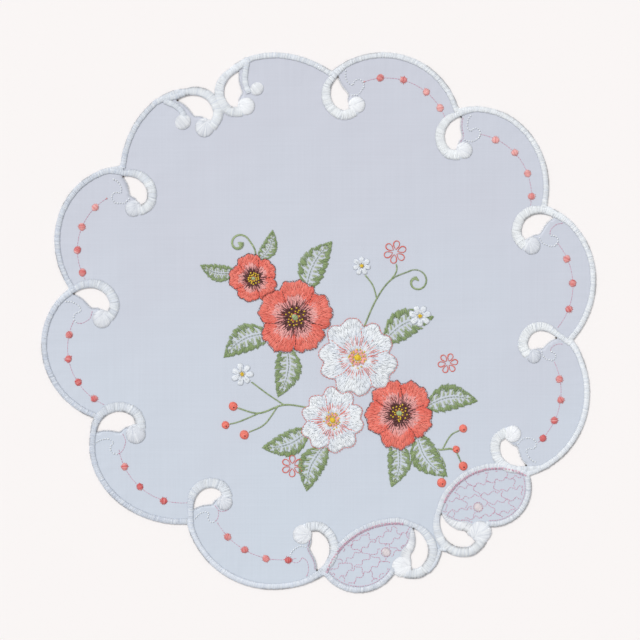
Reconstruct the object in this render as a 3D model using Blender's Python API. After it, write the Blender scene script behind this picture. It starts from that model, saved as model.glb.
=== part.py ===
"""A round cutwork doily with a scalloped edge, lying flat.

One solid: a thin ground cloth cut along its scallops and through fourteen curl-shaped holes, with the
satin stitching of the rim, curls, leaf edges and hooks raised on its upper face. Bearings are in degrees
clockwise from +Y, reaches are from the centre of the cloth, and all lengths are in millimetres.
"""

import math
from collections import namedtuple

import bpy
import numpy as np
from mathutils import Vector
from mathutils.geometry import delaunay_2d_cdt

MM = 0.001

GROUND_THICKNESS = 1.0
SATIN_HEIGHT = 0.85
BALL_HEIGHT = 1.05
RIM_SHARE = 0.3
SATIN_ROUNDNESS = 0.6

EDGE_WIDTH = 4.4
CURL_START_WIDTH = 4.6
CURL_BACK_WIDTH = 7.4
CURL_END_WIDTH = 8.0
BALL_SHARE = 0.25
HOOK_WIDTH = 4.6

RIM_STEP = 3.2
HOLE_STEP = 2.6
SATIN_STEP = 3.1
FEED_STEP = 8.0
GROUND_STEP = 19.0
CLEAR_OF_RIM = 1.25
CLEAR_OF_POINTS = 1.2
CLEAR_ON_GROUND = 7.0
SHOULDER = 0.55
SHOULDER_POINTS = 8
BALL_POINTS = 12
LINE_PARTS = 10
ARC_PARTS = 64

# One arc of the outline: the cusp that starts it, how far it stands off its chord to the next cusp, and
# how much of that it leans along the chord.
Scallop = namedtuple("Scallop", "bearing reach rise lean")
SCALLOPS = (
    Scallop(335.0, 177.5, 24.0, -0.30),
    Scallop(2.7, 180.6, 25.8, 0.0),
    Scallop(33.1, 183.1, 26.4, -0.10),
    Scallop(63.0, 183.4, 25.6, -0.08),
    Scallop(94.2, 183.0, 26.0, 0.05),
    Scallop(126.3, 187.5, 12.8, 0.0),
    Scallop(140.7, 191.1, 12.2, -0.20),
    Scallop(152.0, 186.8, 11.7, 0.15),
    Scallop(163.1, 188.1, 14.0, 0.0),
    Scallop(179.1, 182.9, 26.4, 0.05),
    Scallop(213.2, 174.7, 28.0, 0.16),
    Scallop(246.6, 176.6, 28.6, 0.06),
    Scallop(277.5, 182.3, 27.6, 0.08),
    Scallop(307.9, 182.4, 24.2, 0.28),
)

# One curl: the tip of its hole, the hole's length and the way it runs from tip to round end. The hand is
# 1 where the back of the curl is on the right of that way, and -1 on the left. The belly widens the hole.
# The feed is the scallop whose edge runs into it, taken backwards where negative.
Curl = namedtuple("Curl", "bearing reach length heading hand belly feed")
CURLS = (
    Curl(342.0, 188.9, 25.9, 181.6, 1, 1.0, -1),
    Curl(4.2, 176.5, 24.9, 159.7, 1, 1.0, -2),
    Curl(34.6, 178.8, 24.7, 188.4, 1, 1.0, -3),
    Curl(66.0, 183.6, 26.0, 231.0, 1, 1.1, -4),
    Curl(94.0, 170.3, 21.2, 244.5, 1, 1.22, -5),
    Curl(124.9, 180.8, 25.2, 323.1, -1, 1.0, 5),
    Curl(180.7, 178.9, 28.4, 351.3, 1, 1.0, -10),
    Curl(213.9, 162.7, 23.2, 64.2, -1, 1.05, 10),
    Curl(243.7, 179.8, 29.4, 78.7, -1, 1.0, 11),
    Curl(276.4, 178.2, 27.7, 117.9, -1, 1.0, 12),
    Curl(306.3, 175.9, 24.6, 148.2, -1, 1.0, 13),
    Curl(327.2, 189.3, 28.3, 121.5, -1, 1.0, 14),
)

# The two curls that close the leaves at the foot: as above, with the cusp the leaf's inner edge starts
# from and how far that edge stands off its chord.
LeafCurl = namedtuple("LeafCurl", "bearing reach length heading hand belly cusp rise")
LEAF_CURLS = (
    LeafCurl(147.8, 163.7, 31.8, 127.6, 1, 1.0, 6, -14.5),
    LeafCurl(155.8, 163.1, 29.6, 182.8, -1, 1.0, 10, 12.0),
)
LEAF_EDGES = (6, 9)

# The hole of a curl in shares of its length: along from tip to round end, across towards its back.
HolePoint = namedtuple("HolePoint", "along across")
HOLE_BACK = (
    HolePoint(0.0, 0.0),
    HolePoint(0.075, 0.125),
    HolePoint(0.19, 0.245),
    HolePoint(0.33, 0.335),
    HolePoint(0.50, 0.385),
    HolePoint(0.67, 0.375),
    HolePoint(0.82, 0.305),
    HolePoint(0.93, 0.195),
    HolePoint(1.0, 0.06),
)
HOLE_FRONT = (
    HolePoint(0.96, -0.045),
    HolePoint(0.84, -0.02),
    HolePoint(0.70, -0.03),
    HolePoint(0.58, -0.10),
    HolePoint(0.46, -0.065),
    HolePoint(0.30, -0.01),
    HolePoint(0.15, 0.01),
)
LEAF_FRONT = (
    HolePoint(0.96, -0.035),
    HolePoint(0.87, 0.01),
    HolePoint(0.78, 0.005),
    HolePoint(0.66, -0.02),
    HolePoint(0.56, 0.04),
    HolePoint(0.42, 0.08),
    HolePoint(0.26, 0.08),
    HolePoint(0.12, 0.045),
)
CURL_TURN = HolePoint(1.09, -0.14)
BALL_AT = HolePoint(0.95, -0.235)
CURL_LEAD = HolePoint(-0.16, -0.22)

# The inner hooks beside the two top curls: x, y of the line the satin follows, and of its end ball.
HookPoint = namedtuple("HookPoint", "x y")
HOOKS = (
    (HookPoint(-52.5, 186.5), HookPoint(-54.0, 177.5), HookPoint(-53.5, 170.0), HookPoint(-51.0, 164.5)),
    (HookPoint(-109.0, 157.5), HookPoint(-103.5, 155.0), HookPoint(-99.0, 150.5), HookPoint(-97.0, 145.5)),
)
HOOK_BALLS = (
    (HookPoint(-45.4, 167.4), 5.0),
    (HookPoint(-98.6, 143.6), 5.9),
)

COLOUR = (0.62, 0.67, 0.75, 1.0)
ROUGHNESS = 0.6


def at(bearing, reach):
    """The point at a bearing and reach from the centre of the cloth."""
    turn = math.radians(bearing)
    return Vector((reach * math.sin(turn), reach * math.cos(turn)))


def spaced(points, step):
    """Points every step or less along a line of points, its ends kept."""
    lengths = [(b - a).length for a, b in zip(points, points[1:])]
    total = sum(lengths)
    count = max(1, math.ceil(total / step))
    result = []
    index = 0
    passed = 0.0
    for i in range(count):
        goal = total * i / count
        while passed + lengths[index] < goal:
            passed += lengths[index]
            index += 1
        share = (goal - passed) / lengths[index]
        result.append(points[index].lerp(points[index + 1], share))
    result.append(points[-1])
    return result


def curved(points, per_span=8):
    """A Catmull-Rom curve through points, as a finer line."""
    ends = [points[0] * 2 - points[1], *points, points[-1] * 2 - points[-2]]
    result = []
    for a, b, c, d in zip(ends, ends[1:], ends[2:], ends[3:]):
        for i in range(per_span):
            t = i / per_span
            result.append(
                b
                + (c - a) * (t / 2)
                + (a * 2 - b * 5 + c * 4 - d) * (t * t / 2)
                + (b * 3 - a - c * 3 + d) * (t * t * t / 2)
            )
    result.append(points[-1])
    return result


def arc(start, end, rise, lean=0.0, inset=0.0):
    """Points on an arc that stands off its chord to the left, moved in by inset."""
    half = (end - start).length / 2
    along = (end - start) / (2 * half)
    out = Vector((-along.y, along.x))
    radius = (half * half + rise * rise) / (2 * rise)
    sweep = 2 * math.atan2(rise, half)
    middle = (start + end) / 2 + out * (rise - radius)
    points = []
    for i in range(ARC_PARTS + 1):
        angle = sweep * (2 * i / ARC_PARTS - 1)
        up = radius * math.cos(angle) - (radius - rise)
        size = radius - inset
        place = middle + along * (size * math.sin(angle)) + out * (size * math.cos(angle))
        points.append(place + along * (lean * up))
    return points


def scallop_arc(number, inset=0.0):
    """The line of one scallop of the outline, counted from 1."""
    row = SCALLOPS[number - 1]
    after = SCALLOPS[number % len(SCALLOPS)]
    return arc(at(row.bearing, row.reach), at(after.bearing, after.reach), row.rise, row.lean, inset)


def curl_place(curl, point):
    """A point given in shares of a curl's length, on the cloth."""
    ahead = at(curl.heading, curl.length)
    back = Vector((ahead.y, -ahead.x)) * curl.hand
    return at(curl.bearing, curl.reach) + ahead * point.along + back * point.across


def hole_back(curl, per_span=8):
    """The long side of a curl's hole, from its tip to its round end."""
    rows = [HolePoint(p.along, p.across * curl.belly) for p in HOLE_BACK]
    return curved([curl_place(curl, p) for p in rows], per_span)


def hole_line(curl):
    """The closed outline of a curl's hole."""
    back = hole_back(curl)
    rows = LEAF_FRONT if curl in LEAF_CURLS else HOLE_FRONT
    front = curved([back[-1], *(curl_place(curl, p) for p in rows), back[0]])
    return spaced(back, HOLE_STEP)[:-1] + spaced(front, HOLE_STEP)[:-1]


def curl_width(share):
    """The width of the satin from a curl's tip, at 0, to its ball, at 1."""
    if share < 0.5:
        return CURL_START_WIDTH + (CURL_BACK_WIDTH - CURL_START_WIDTH) * math.sin(math.pi * share)
    return CURL_BACK_WIDTH + (CURL_END_WIDTH - CURL_BACK_WIDTH) * (2 * share - 1)


def curl_band(curl):
    """The middle of the satin round the back of a curl's hole, from near its tip to its ball."""
    back = hole_back(curl, 4)
    points = []
    for i in range(2, len(back) - 1, 4):
        ahead = (back[i + 1] - back[i - 1]).normalized()
        out = Vector((ahead.y, -ahead.x)) * curl.hand
        points.append(back[i] + out * (curl_width(i / len(back)) / 2))
    return points + [curl_place(curl, CURL_TURN), curl_place(curl, BALL_AT)]


def satin_line(feed, curl):
    """The whole line of a curl's satin, along the edge that feeds it and round its back, and its widths."""
    lead = curl_place(curl, CURL_LEAD)
    near = min(range(len(feed)), key=lambda i: (feed[i] - lead).length)
    run = spaced(feed[: max(near - 1, 2)], FEED_STEP)
    line = curved(run + curl_band(curl), LINE_PARTS)
    turn = len(run) * LINE_PARTS
    widths = [EDGE_WIDTH] * turn
    widths += [curl_width(i / (len(line) - turn)) for i in range(len(line) - turn)]
    return line, widths


def edge_feed(number):
    """The middle of the satin along a scallop, taken backwards where the number is negative."""
    line = scallop_arc(abs(number), EDGE_WIDTH / 2)
    return line[::-1] if number < 0 else line


def leaf_feed(curl):
    """The middle of the satin along a leaf's inner edge, from its far tip to its curl."""
    row = SCALLOPS[curl.cusp - 1]
    start = at(row.bearing, row.reach - EDGE_WIDTH / 2)
    end = curl_place(curl, CURL_LEAD)
    return arc(start, end, curl.rise)


def strokes():
    """Every line of raised satin: its points and widths."""
    lines = [satin_line(edge_feed(curl.feed), curl) for curl in CURLS]
    lines += [satin_line(leaf_feed(curl), curl) for curl in LEAF_CURLS]
    for number in LEAF_EDGES:
        line = scallop_arc(number, EDGE_WIDTH / 2)
        lines.append((line, [EDGE_WIDTH] * len(line)))
    for hook in HOOKS:
        line = curved([Vector(p) for p in hook])
        lines.append((line, [HOOK_WIDTH] * len(line)))
    return lines


def balls():
    """The centre and radius of every raised ball."""
    rows = [(curl_place(c, BALL_AT), BALL_SHARE * c.length) for c in (*CURLS, *LEAF_CURLS)]
    return rows + [(Vector(place), radius) for place, radius in HOOK_BALLS]


class Relief:
    """How far the satin stands above the ground cloth at any point."""

    def __init__(self, lines, rounds):
        places = []
        halves = []
        for line, widths in lines:
            for i, place in enumerate(line):
                places.append((place.x, place.y))
                halves.append(widths[i] / 2)
        self.places = np.array(places)
        self.halves = np.array(halves)
        self.middles = np.array([(c.x, c.y) for c, _ in rounds])
        self.radii = np.array([r for _, r in rounds])

    def height(self, point):
        """The height at a point, 0 on the bare cloth."""
        here = np.array((point[0], point[1]))
        band = np.min(np.linalg.norm(self.places - here, axis=1) / self.halves)
        ball = np.min(np.linalg.norm(self.middles - here, axis=1) / self.radii)
        satin = SATIN_HEIGHT * max(0.0, 1 - band * band) ** SATIN_ROUNDNESS
        dome = BALL_HEIGHT * max(0.0, 1 - ball * ball) ** SATIN_ROUNDNESS
        return max(satin, dome)


def outline():
    """The closed outline of the cloth, clockwise."""
    points = []
    for number in range(1, len(SCALLOPS) + 1):
        points += spaced(scallop_arc(number), RIM_STEP)[:-1]
    return points


def inside(point, loop):
    """Whether a point lies inside a closed loop."""
    x, y = point[0], point[1]
    crossings = False
    for a, b in zip(loop, loop[1:] + loop[:1]):
        if (a.y > y) != (b.y > y) and x < a.x + (y - a.y) * (b.x - a.x) / (b.y - a.y):
            crossings = not crossings
    return crossings


def offsets(line, widths, share):
    """A line moved to one side of another by a share of its half width."""
    points = []
    last = len(line) - 1
    for i, place in enumerate(line):
        ahead = (line[min(i + 1, last)] - line[max(i - 1, 0)]).normalized()
        points.append(place + Vector((-ahead.y, ahead.x)) * (share * widths[i] / 2))
    return points


def relief_points(lines, rounds):
    """Points that carry the relief: ridges and balls first, then shoulders, then edges."""
    groups = [spaced(line, SATIN_STEP) for line, _ in lines]
    for centre, radius in rounds:
        groups.append([centre])
        groups.append(ring(centre, radius * SHOULDER, SHOULDER_POINTS))
        groups.append(ring(centre, radius, BALL_POINTS))
    for share in (SHOULDER, -SHOULDER, 1.0, -1.0):
        groups += [spaced(offsets(line, widths, share), SATIN_STEP) for line, widths in lines]
    return [point for group in groups for point in group]


def ring(centre, radius, count):
    """Points on a circle."""
    turns = [2 * math.pi * i / count for i in range(count)]
    return [centre + Vector((math.cos(t), math.sin(t))) * radius for t in turns]


def ground_points(reach):
    """A wide triangular grid over the flat middle."""
    rows = math.ceil(2 * reach / GROUND_STEP)
    points = []
    for j in range(rows + 1):
        for i in range(rows + 1):
            x = -reach + GROUND_STEP * (i + (j % 2) / 2)
            y = -reach + GROUND_STEP * j * math.sqrt(3) / 2
            points.append(Vector((x, y)))
    return points


class Sieve:
    """Accepts points that are inside the cloth and clear of those already there."""

    def __init__(self, rim, holes):
        self.rim = rim
        self.holes = holes
        self.bounds = [p for loop in (rim, *holes) for p in loop]
        self.kept = []

    def take(self, points, clear_of_rim, clear):
        """Keep each point that lies at least these distances from the edges and the points kept."""
        for point in points:
            here = np.array((point.x, point.y))
            if self.near(self.bounds, here, clear_of_rim):
                continue
            if self.kept and self.near(self.kept, here, clear):
                continue
            if inside(point, self.rim) and not any(inside(point, hole) for hole in self.holes):
                self.kept.append(point)

    @staticmethod
    def near(points, here, limit):
        """Whether any of the points is closer than a limit."""
        places = np.array([(p.x, p.y) for p in points])
        return bool(np.min(np.linalg.norm(places - here, axis=1)) < limit)


def triangles(points, loops, rim, holes):
    """The triangles between points, inside the rim and outside the holes."""
    edges = []
    start = 0
    for loop in loops:
        count = len(loop)
        edges += [(start + i, start + (i + 1) % count) for i in range(count)]
        start += count
    found = delaunay_2d_cdt(points, edges, [], 0, 1e-6)
    places, faces = found[0], found[2]
    if len(places) != len(points):
        raise ValueError("the loops cross or touch")
    kept = []
    for face in faces:
        middle = sum((places[i] for i in face), Vector((0, 0))) / 3
        if inside(middle, rim) and not any(inside(middle, hole) for hole in holes):
            kept.append(tuple(face))
    return kept


def build():
    """The corners and triangles of the cloth, and how many triangles face up."""
    rim = outline()
    holes = [hole_line(curl) for curl in (*CURLS, *LEAF_CURLS)]
    loops = [rim, *holes]
    lines = strokes()
    rounds = balls()
    relief = Relief(lines, rounds)

    sieve = Sieve(rim, holes)
    sieve.take(relief_points(lines, rounds), CLEAR_OF_RIM, CLEAR_OF_POINTS)
    sieve.take(ground_points(max(p.length for p in rim)), CLEAR_ON_GROUND, CLEAR_ON_GROUND)

    bound = [p for loop in loops for p in loop]
    points = bound + sieve.kept
    upper = triangles(points, loops, rim, holes)
    lower = triangles(bound, loops, rim, holes)

    tops = [GROUND_THICKNESS + relief.height(p) for p in points]
    for i in range(len(bound)):
        tops[i] = GROUND_THICKNESS + RIM_SHARE * SATIN_HEIGHT
    middle_x = (max(p.x for p in rim) + min(p.x for p in rim)) / 2
    middle_y = (max(p.y for p in rim) + min(p.y for p in rim)) / 2
    places = [(p.x - middle_x, p.y - middle_y, z) for p, z in zip(points, tops)]
    base = len(places)
    places += [(p.x - middle_x, p.y - middle_y, 0.0) for p in bound]

    faces = [up(face, points) for face in upper]
    faces += [tuple(base + i for i in up(face, points)[::-1]) for face in lower]
    start = 0
    for number, loop in enumerate(loops):
        faces += wall(start, len(loop), base, clockwise(loop) == (number == 0))
        start += len(loop)
    return places, faces, len(upper)


def clockwise(loop):
    """Whether a closed loop runs clockwise seen from above."""
    area = sum(a.x * b.y - b.x * a.y for a, b in zip(loop, loop[1:] + loop[:1]))
    return area < 0


def up(face, points):
    """A triangle with its corners in the order that faces it upwards."""
    a, b, c = (points[i] for i in face)
    turn = (b - a).cross(c - a)
    return tuple(face) if turn > 0 else tuple(face[::-1])


def wall(start, count, base, forward):
    """The side wall under one closed loop of the upper face."""
    faces = []
    for i in range(count):
        a = start + i
        b = start + (i + 1) % count
        if not forward:
            a, b = b, a
        faces += [(a, b, base + b), (a, base + b, base + a)]
    return faces


def add_cloth(name):
    """The cloth as an object with its own material."""
    places, faces, upper = build()
    mesh = bpy.data.meshes.new(name)
    mesh.from_pydata([tuple(c * MM for c in place) for place in places], [], faces)
    mesh.validate()
    for polygon in mesh.polygons:
        polygon.use_smooth = polygon.index < upper
    material = bpy.data.materials.new(name)
    material.use_nodes = True
    shader = material.node_tree.nodes["Principled BSDF"]
    shader.inputs["Base Color"].default_value = COLOUR
    shader.inputs["Roughness"].default_value = ROUGHNESS
    shader.inputs["Metallic"].default_value = 0.0
    mesh.materials.append(material)
    bpy.context.scene.collection.objects.link(bpy.data.objects.new(name, mesh))


for leftover in list(bpy.data.objects):
    bpy.data.objects.remove(leftover)
add_cloth("doily_cloth")
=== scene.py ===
import math
from collections import namedtuple

import bpy
import numpy as np
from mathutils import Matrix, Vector
from mathutils.geometry import delaunay_2d_cdt
from mathutils.kdtree import KDTree


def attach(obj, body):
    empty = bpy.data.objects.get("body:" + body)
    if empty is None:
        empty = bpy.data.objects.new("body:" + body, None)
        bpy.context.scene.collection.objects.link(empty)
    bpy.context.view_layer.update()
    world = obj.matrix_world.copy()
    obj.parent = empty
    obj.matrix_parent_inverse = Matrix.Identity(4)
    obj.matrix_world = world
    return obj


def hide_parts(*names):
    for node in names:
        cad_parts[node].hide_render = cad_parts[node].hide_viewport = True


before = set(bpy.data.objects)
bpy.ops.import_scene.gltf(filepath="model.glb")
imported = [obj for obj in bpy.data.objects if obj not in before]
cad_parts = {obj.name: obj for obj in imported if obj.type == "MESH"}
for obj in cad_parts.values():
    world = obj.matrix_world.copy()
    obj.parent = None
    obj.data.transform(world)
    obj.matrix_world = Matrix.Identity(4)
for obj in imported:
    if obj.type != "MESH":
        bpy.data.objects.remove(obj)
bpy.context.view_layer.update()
mm = 0.001
chance = np.random.RandomState(29)
print("frame loaded:", sorted(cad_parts))

# The outline: each arc's starting cusp, how far it stands off its chord, and how much that leans along it.
Scallop = namedtuple("Scallop", "bearing reach rise lean")
scallops = (
    Scallop(335.0, 177.5, 24.0, -0.30),
    Scallop(2.7, 180.6, 25.8, 0.0),
    Scallop(33.1, 183.1, 26.4, -0.10),
    Scallop(63.0, 183.4, 25.6, -0.08),
    Scallop(94.2, 183.0, 26.0, 0.05),
    Scallop(126.3, 187.5, 12.8, 0.0),
    Scallop(140.7, 191.1, 12.2, -0.20),
    Scallop(152.0, 186.8, 11.7, 0.15),
    Scallop(163.1, 188.1, 14.0, 0.0),
    Scallop(179.1, 182.9, 26.4, 0.05),
    Scallop(213.2, 174.7, 28.0, 0.16),
    Scallop(246.6, 176.6, 28.6, 0.06),
    Scallop(277.5, 182.3, 27.6, 0.08),
    Scallop(307.9, 182.4, 24.2, 0.28),
)

# Each curl: the tip of its hole, the hole's length and heading, the side its back is on (1 right, -1 left),
# how full the hole is, the scallop that runs into it (backwards where negative) and how light its ball is.
Curl = namedtuple("Curl", "bearing reach length heading hand belly feed shine")
curls = (
    Curl(342.0, 188.9, 25.9, 181.6, 1, 1.0, -1, 0.9),
    Curl(4.2, 176.5, 24.9, 159.7, 1, 1.0, -2, 0.95),
    Curl(34.6, 178.8, 24.7, 188.4, 1, 1.0, -3, 0.82),
    Curl(66.0, 183.6, 26.0, 231.0, 1, 1.1, -4, 0.64),
    Curl(94.0, 170.3, 21.2, 244.5, 1, 1.22, -5, 0.48),
    Curl(124.9, 180.8, 25.2, 323.1, -1, 1.0, 5, 0.95),
    Curl(180.7, 178.9, 28.4, 351.3, 1, 1.0, -10, 0.76),
    Curl(213.9, 162.7, 23.2, 64.2, -1, 1.05, 10, 0.58),
    Curl(243.7, 179.8, 29.4, 78.7, -1, 1.0, 11, 0.6),
    Curl(276.4, 178.2, 27.7, 117.9, -1, 1.0, 12, 0.68),
    Curl(306.3, 175.9, 24.6, 148.2, -1, 1.0, 13, 0.62),
    Curl(327.2, 189.3, 28.3, 121.5, -1, 1.0, 14, 0.72),
)

# The two curls that close the leaves: as above, with the cusp their inner edge starts from and its rise.
LeafCurl = namedtuple("LeafCurl", "bearing reach length heading hand belly cusp rise shine")
leafCurls = (
    LeafCurl(147.8, 163.7, 31.8, 127.6, 1, 1.0, 6, -14.5, 0.8),
    LeafCurl(155.8, 163.1, 29.6, 182.8, -1, 1.0, 10, 12.0, 0.95),
)
leafEdges = (6, 9)

# A curl's hole in shares of its length: along from tip to round end, across towards its back.
holeBackShape = (
    (0.0, 0.0), (0.075, 0.125), (0.19, 0.245), (0.33, 0.335), (0.50, 0.385),
    (0.67, 0.375), (0.82, 0.305), (0.93, 0.195), (1.0, 0.06),
)
holeFrontShape = (
    (0.96, -0.045), (0.84, -0.02), (0.70, -0.03), (0.58, -0.10), (0.46, -0.065), (0.30, -0.01),
    (0.15, 0.01),
)
leafFrontShape = (
    (0.96, -0.035), (0.87, 0.01), (0.78, 0.005), (0.66, -0.02), (0.56, 0.04), (0.42, 0.08), (0.26, 0.08),
    (0.12, 0.045),
)
curlTurn = (1.09, -0.14)  # where the satin turns round the hole's end
ballAt = (0.95, -0.235)
fanAt = (0.915, -0.07)  # where the ball's stitches spread from
curlLead = (-0.16, -0.22)  # where the edge's satin turns off into the curl

# The inner hooks beside the two top curls, and their end balls.
hooks = (
    ((-52.5, 186.5), (-54.0, 177.5), (-53.5, 170.0), (-51.0, 164.5)),
    ((-109.0, 157.5), (-103.5, 155.0), (-99.0, 150.5), (-97.0, 145.5)),
)
hookBalls = (((-45.4, 167.4), 5.0), ((-98.6, 143.6), 5.9))

border = {
    "edgeWidth": 4.4,  # satin along the scallops
    "curlStartWidth": 4.6,
    "curlBackWidth": 7.4,
    "curlEndWidth": 8.0,
    "hookWidth": 4.6,
    "ballShare": 0.25,  # a ball's radius in lengths of its curl
    "feedStep": 8.0,
    "lineParts": 10,
    "rimStep": 1.6,
    "holeStep": 1.3,
}


def at(bearing, reach):
    turn = math.radians(bearing)
    return np.array((reach * math.sin(turn), reach * math.cos(turn)))


def apart(points, place):
    # how far each point lies from a place
    return np.linalg.norm(points - place, axis=-1)


def unit(ways):
    # the same directions, all of length one
    return ways / np.maximum(np.linalg.norm(ways, axis=-1, keepdims=True), 1e-9)


def ringOf(centre, radius, parts, start=0.0):
    # points round a circle
    return centre + np.array([at(start + 360.0 * k / parts, radius) for k in range(parts)])


def closed(loop):
    return np.vstack((loop, loop[:1]))


def centreOf(loop):
    return (loop.max(axis=0) + loop.min(axis=0)) / 2


def turns(parts):
    # equal parts of a full turn
    return 2 * np.pi * np.arange(parts) / parts


def towards(angle):
    # the ways that angles from +X point
    return np.stack((np.cos(angle), np.sin(angle)), axis=-1)


def eased(points):
    # places from -1 to 1, closer together towards the ends
    return np.sin(np.linspace(-np.pi / 2, np.pi / 2, points))[None, :]


def passed(line):
    return np.concatenate(([0.0], np.cumsum(apart(line[1:], line[:-1]))))


def pointsAt(line, places):
    # the points that lie these distances along a line
    reached = passed(line)
    return np.stack([np.interp(places, reached, line[:, k]) for k in range(line.shape[1])], axis=1)


def spaced(line, step):
    total = passed(line)[-1]
    return pointsAt(line, np.linspace(0, total, max(1, math.ceil(total / step)) + 1))


def curved(points, perSpan=8):
    # a smooth curve through the points
    points = np.asarray(points, float)
    ends = np.vstack((2 * points[0] - points[1], points, 2 * points[-1] - points[-2]))
    a, b, c, d = ends[:-3], ends[1:-2], ends[2:-1], ends[3:]
    t = (np.arange(perSpan) / perSpan)[:, None, None]
    spans = b + (c - a) * t / 2 + (2 * a - 5 * b + 4 * c - d) * t**2 / 2
    spans = spans + (3 * b - a - 3 * c + d) * t**3 / 2
    return np.vstack((spans.transpose(1, 0, 2).reshape(-1, 2), points[-1]))


def turned(vectors):
    # plane vectors turned a quarter to the left
    return np.stack((-vectors[..., 1], vectors[..., 0]), axis=-1)


def rowsAcross(here, ahead, lateral):
    # rows of points to the left of places on a line
    return here[:, None] + turned(ahead)[:, None] * lateral[..., None]


def headings(line):
    return unit(np.gradient(line, axis=0))


def beside(line, offset):
    # a line moved sideways, to its left
    return line + turned(headings(line)) * offset


def arc(start, end, rise, lean=0.0, inset=0.0, parts=64):
    # stands off its chord to the left, moved in by inset
    half = apart(start, end) / 2
    ahead = unit(end - start)
    out = turned(ahead)
    radius = (half * half + rise * rise) / (2 * rise)
    angle = 2 * math.atan2(rise, half) * np.linspace(-1, 1, parts + 1)[:, None]
    stand = radius * np.cos(angle) - (radius - rise)
    middle = (start + end) / 2 + out * (rise - radius)
    size = radius - inset
    return middle + ahead * (size * np.sin(angle) + lean * stand) + out * (size * np.cos(angle))


def scallopArc(number, inset=0.0):
    row = scallops[number - 1]
    after = scallops[number % len(scallops)]
    return arc(at(row.bearing, row.reach), at(after.bearing, after.reach), row.rise, row.lean, inset)


def onCurl(curl, place):
    # a place given in shares of a curl's length
    ahead = at(curl.heading, curl.length)
    back = -turned(ahead) * curl.hand
    return at(curl.bearing, curl.reach) + ahead * place[0] + back * place[1]


def holeBack(curl, perSpan=8):
    return curved([onCurl(curl, (a, b * curl.belly)) for a, b in holeBackShape], perSpan)


def holeFront(curl):
    back = holeBack(curl)
    shape = leafFrontShape if curl in leafCurls else holeFrontShape
    return curved([back[-1], *(onCurl(curl, p) for p in shape), back[0]])


def curlWidth(share):
    start, back, end = border["curlStartWidth"], border["curlBackWidth"], border["curlEndWidth"]
    opening = start + (back - start) * np.sin(np.pi * share)
    return np.where(share < 0.5, opening, back + (end - back) * (2 * share - 1))


def curlBand(curl):
    # the middle of the satin round the back of the hole, from near its tip to its ball
    back = holeBack(curl, 4)
    picks = np.arange(2, len(back) - 1, 4)
    out = -turned(unit(back[picks + 1] - back[picks - 1])) * curl.hand
    points = back[picks] + out * curlWidth(picks / len(back))[:, None] / 2
    return [*points, onCurl(curl, curlTurn), onCurl(curl, ballAt)]


def leavesAt(feed, curl):
    # the point of an edge where its satin turns off into a curl
    return int(np.argmin(apart(feed, onCurl(curl, curlLead))))


def satinLine(feed, curl):
    # along the edge that feeds a curl and round its back, with the width at each point
    run = spaced(feed[: max(leavesAt(feed, curl) - 1, 2)], border["feedStep"])
    line = curved([*run, *curlBand(curl)], border["lineParts"])
    turn = len(run) * border["lineParts"]
    widths = np.full(len(line), border["edgeWidth"])
    widths[turn:] = curlWidth(np.arange(len(line) - turn) / (len(line) - turn))
    return line, widths


def edgeFeed(number):
    line = scallopArc(abs(number), border["edgeWidth"] / 2)
    return line[::-1] if number < 0 else line


def leafFeed(curl):
    # the middle of the satin along a leaf's inner edge, from its far tip to its curl
    row = scallops[curl.cusp - 1]
    start = at(row.bearing, row.reach - border["edgeWidth"] / 2)
    return arc(start, onCurl(curl, curlLead), curl.rise)


allCurls = (*curls, *leafCurls)
rim = np.vstack([spaced(scallopArc(n + 1), border["rimStep"])[:-1] for n in range(len(scallops))])
middle = centreOf(rim)
satinLines = [satinLine(edgeFeed(c.feed), c) for c in curls]
satinLines += [satinLine(leafFeed(c), c) for c in leafCurls]
for number in leafEdges:
    edgeLine = scallopArc(number, border["edgeWidth"] / 2)
    satinLines.append((edgeLine, np.full(len(edgeLine), border["edgeWidth"])))
for hook in hooks:
    hookLine = curved(hook)
    satinLines.append((hookLine, np.full(len(hookLine), border["hookWidth"])))
balls = [(onCurl(c, ballAt), border["ballShare"] * c.length) for c in allCurls]
balls += [(np.array(place), radius) for place, radius in hookBalls]


def inside(points, loop):
    # which points lie inside a closed loop
    found = np.zeros(len(points), bool)
    x, y = points[:, 0], points[:, 1]
    for a, b in zip(loop, np.roll(loop, -1, axis=0)):
        if a[1] == b[1]:
            continue
        cross = a[0] + (y - a[1]) * (b[0] - a[0]) / (b[1] - a[1])
        found ^= ((a[1] > y) != (b[1] > y)) & (x < cross)
    return found


def isClockwise(loop):
    x, y = loop[:, 0], loop[:, 1]
    return np.sum(x * np.roll(y, -1) - np.roll(x, -1) * y) < 0


def moved(loop, distance):
    # a closed loop grown outwards, or drawn in where negative
    ahead = unit(np.roll(loop, -1, axis=0) - np.roll(loop, 1, axis=0))
    return loop + turned(ahead) * (distance if isClockwise(loop) else -distance)


holes = []
for curl in allCurls:
    back, front = (spaced(line, border["holeStep"])[:-1] for line in (holeBack(curl), holeFront(curl)))
    holes.append(np.vstack((back, front)))


def onCloth(points):
    # which points have cloth under them
    found = inside(points, rim)
    for hole in holes:
        found &= ~inside(points, hole)
    return found


holeTips = np.array([onCurl(curl, (0.0, 0.0)) for curl in allCurls])

# How the cloth lies.
cloth = {
    "thickness": 0.34,
    "edgeLift": 0.82,  # its upper face beside the thick satin, which rests on the table
    "middleLift": 0.55,
    "liftReach": 22.0,
    "pucker": 0.13,  # the satin draws the cloth into short ripples
    "puckerLength": 8.3,
    "puckerReach": 8.0,
    "swell": 0.11,  # and the whole cloth lies a little unevenly
    "swellLength": 74.0,
    "grid": 2.5,
    "clearOfEdge": 1.1,
    "rawEdge": 0.45,  # how far the cut edge lies inside the satin's
}

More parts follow.
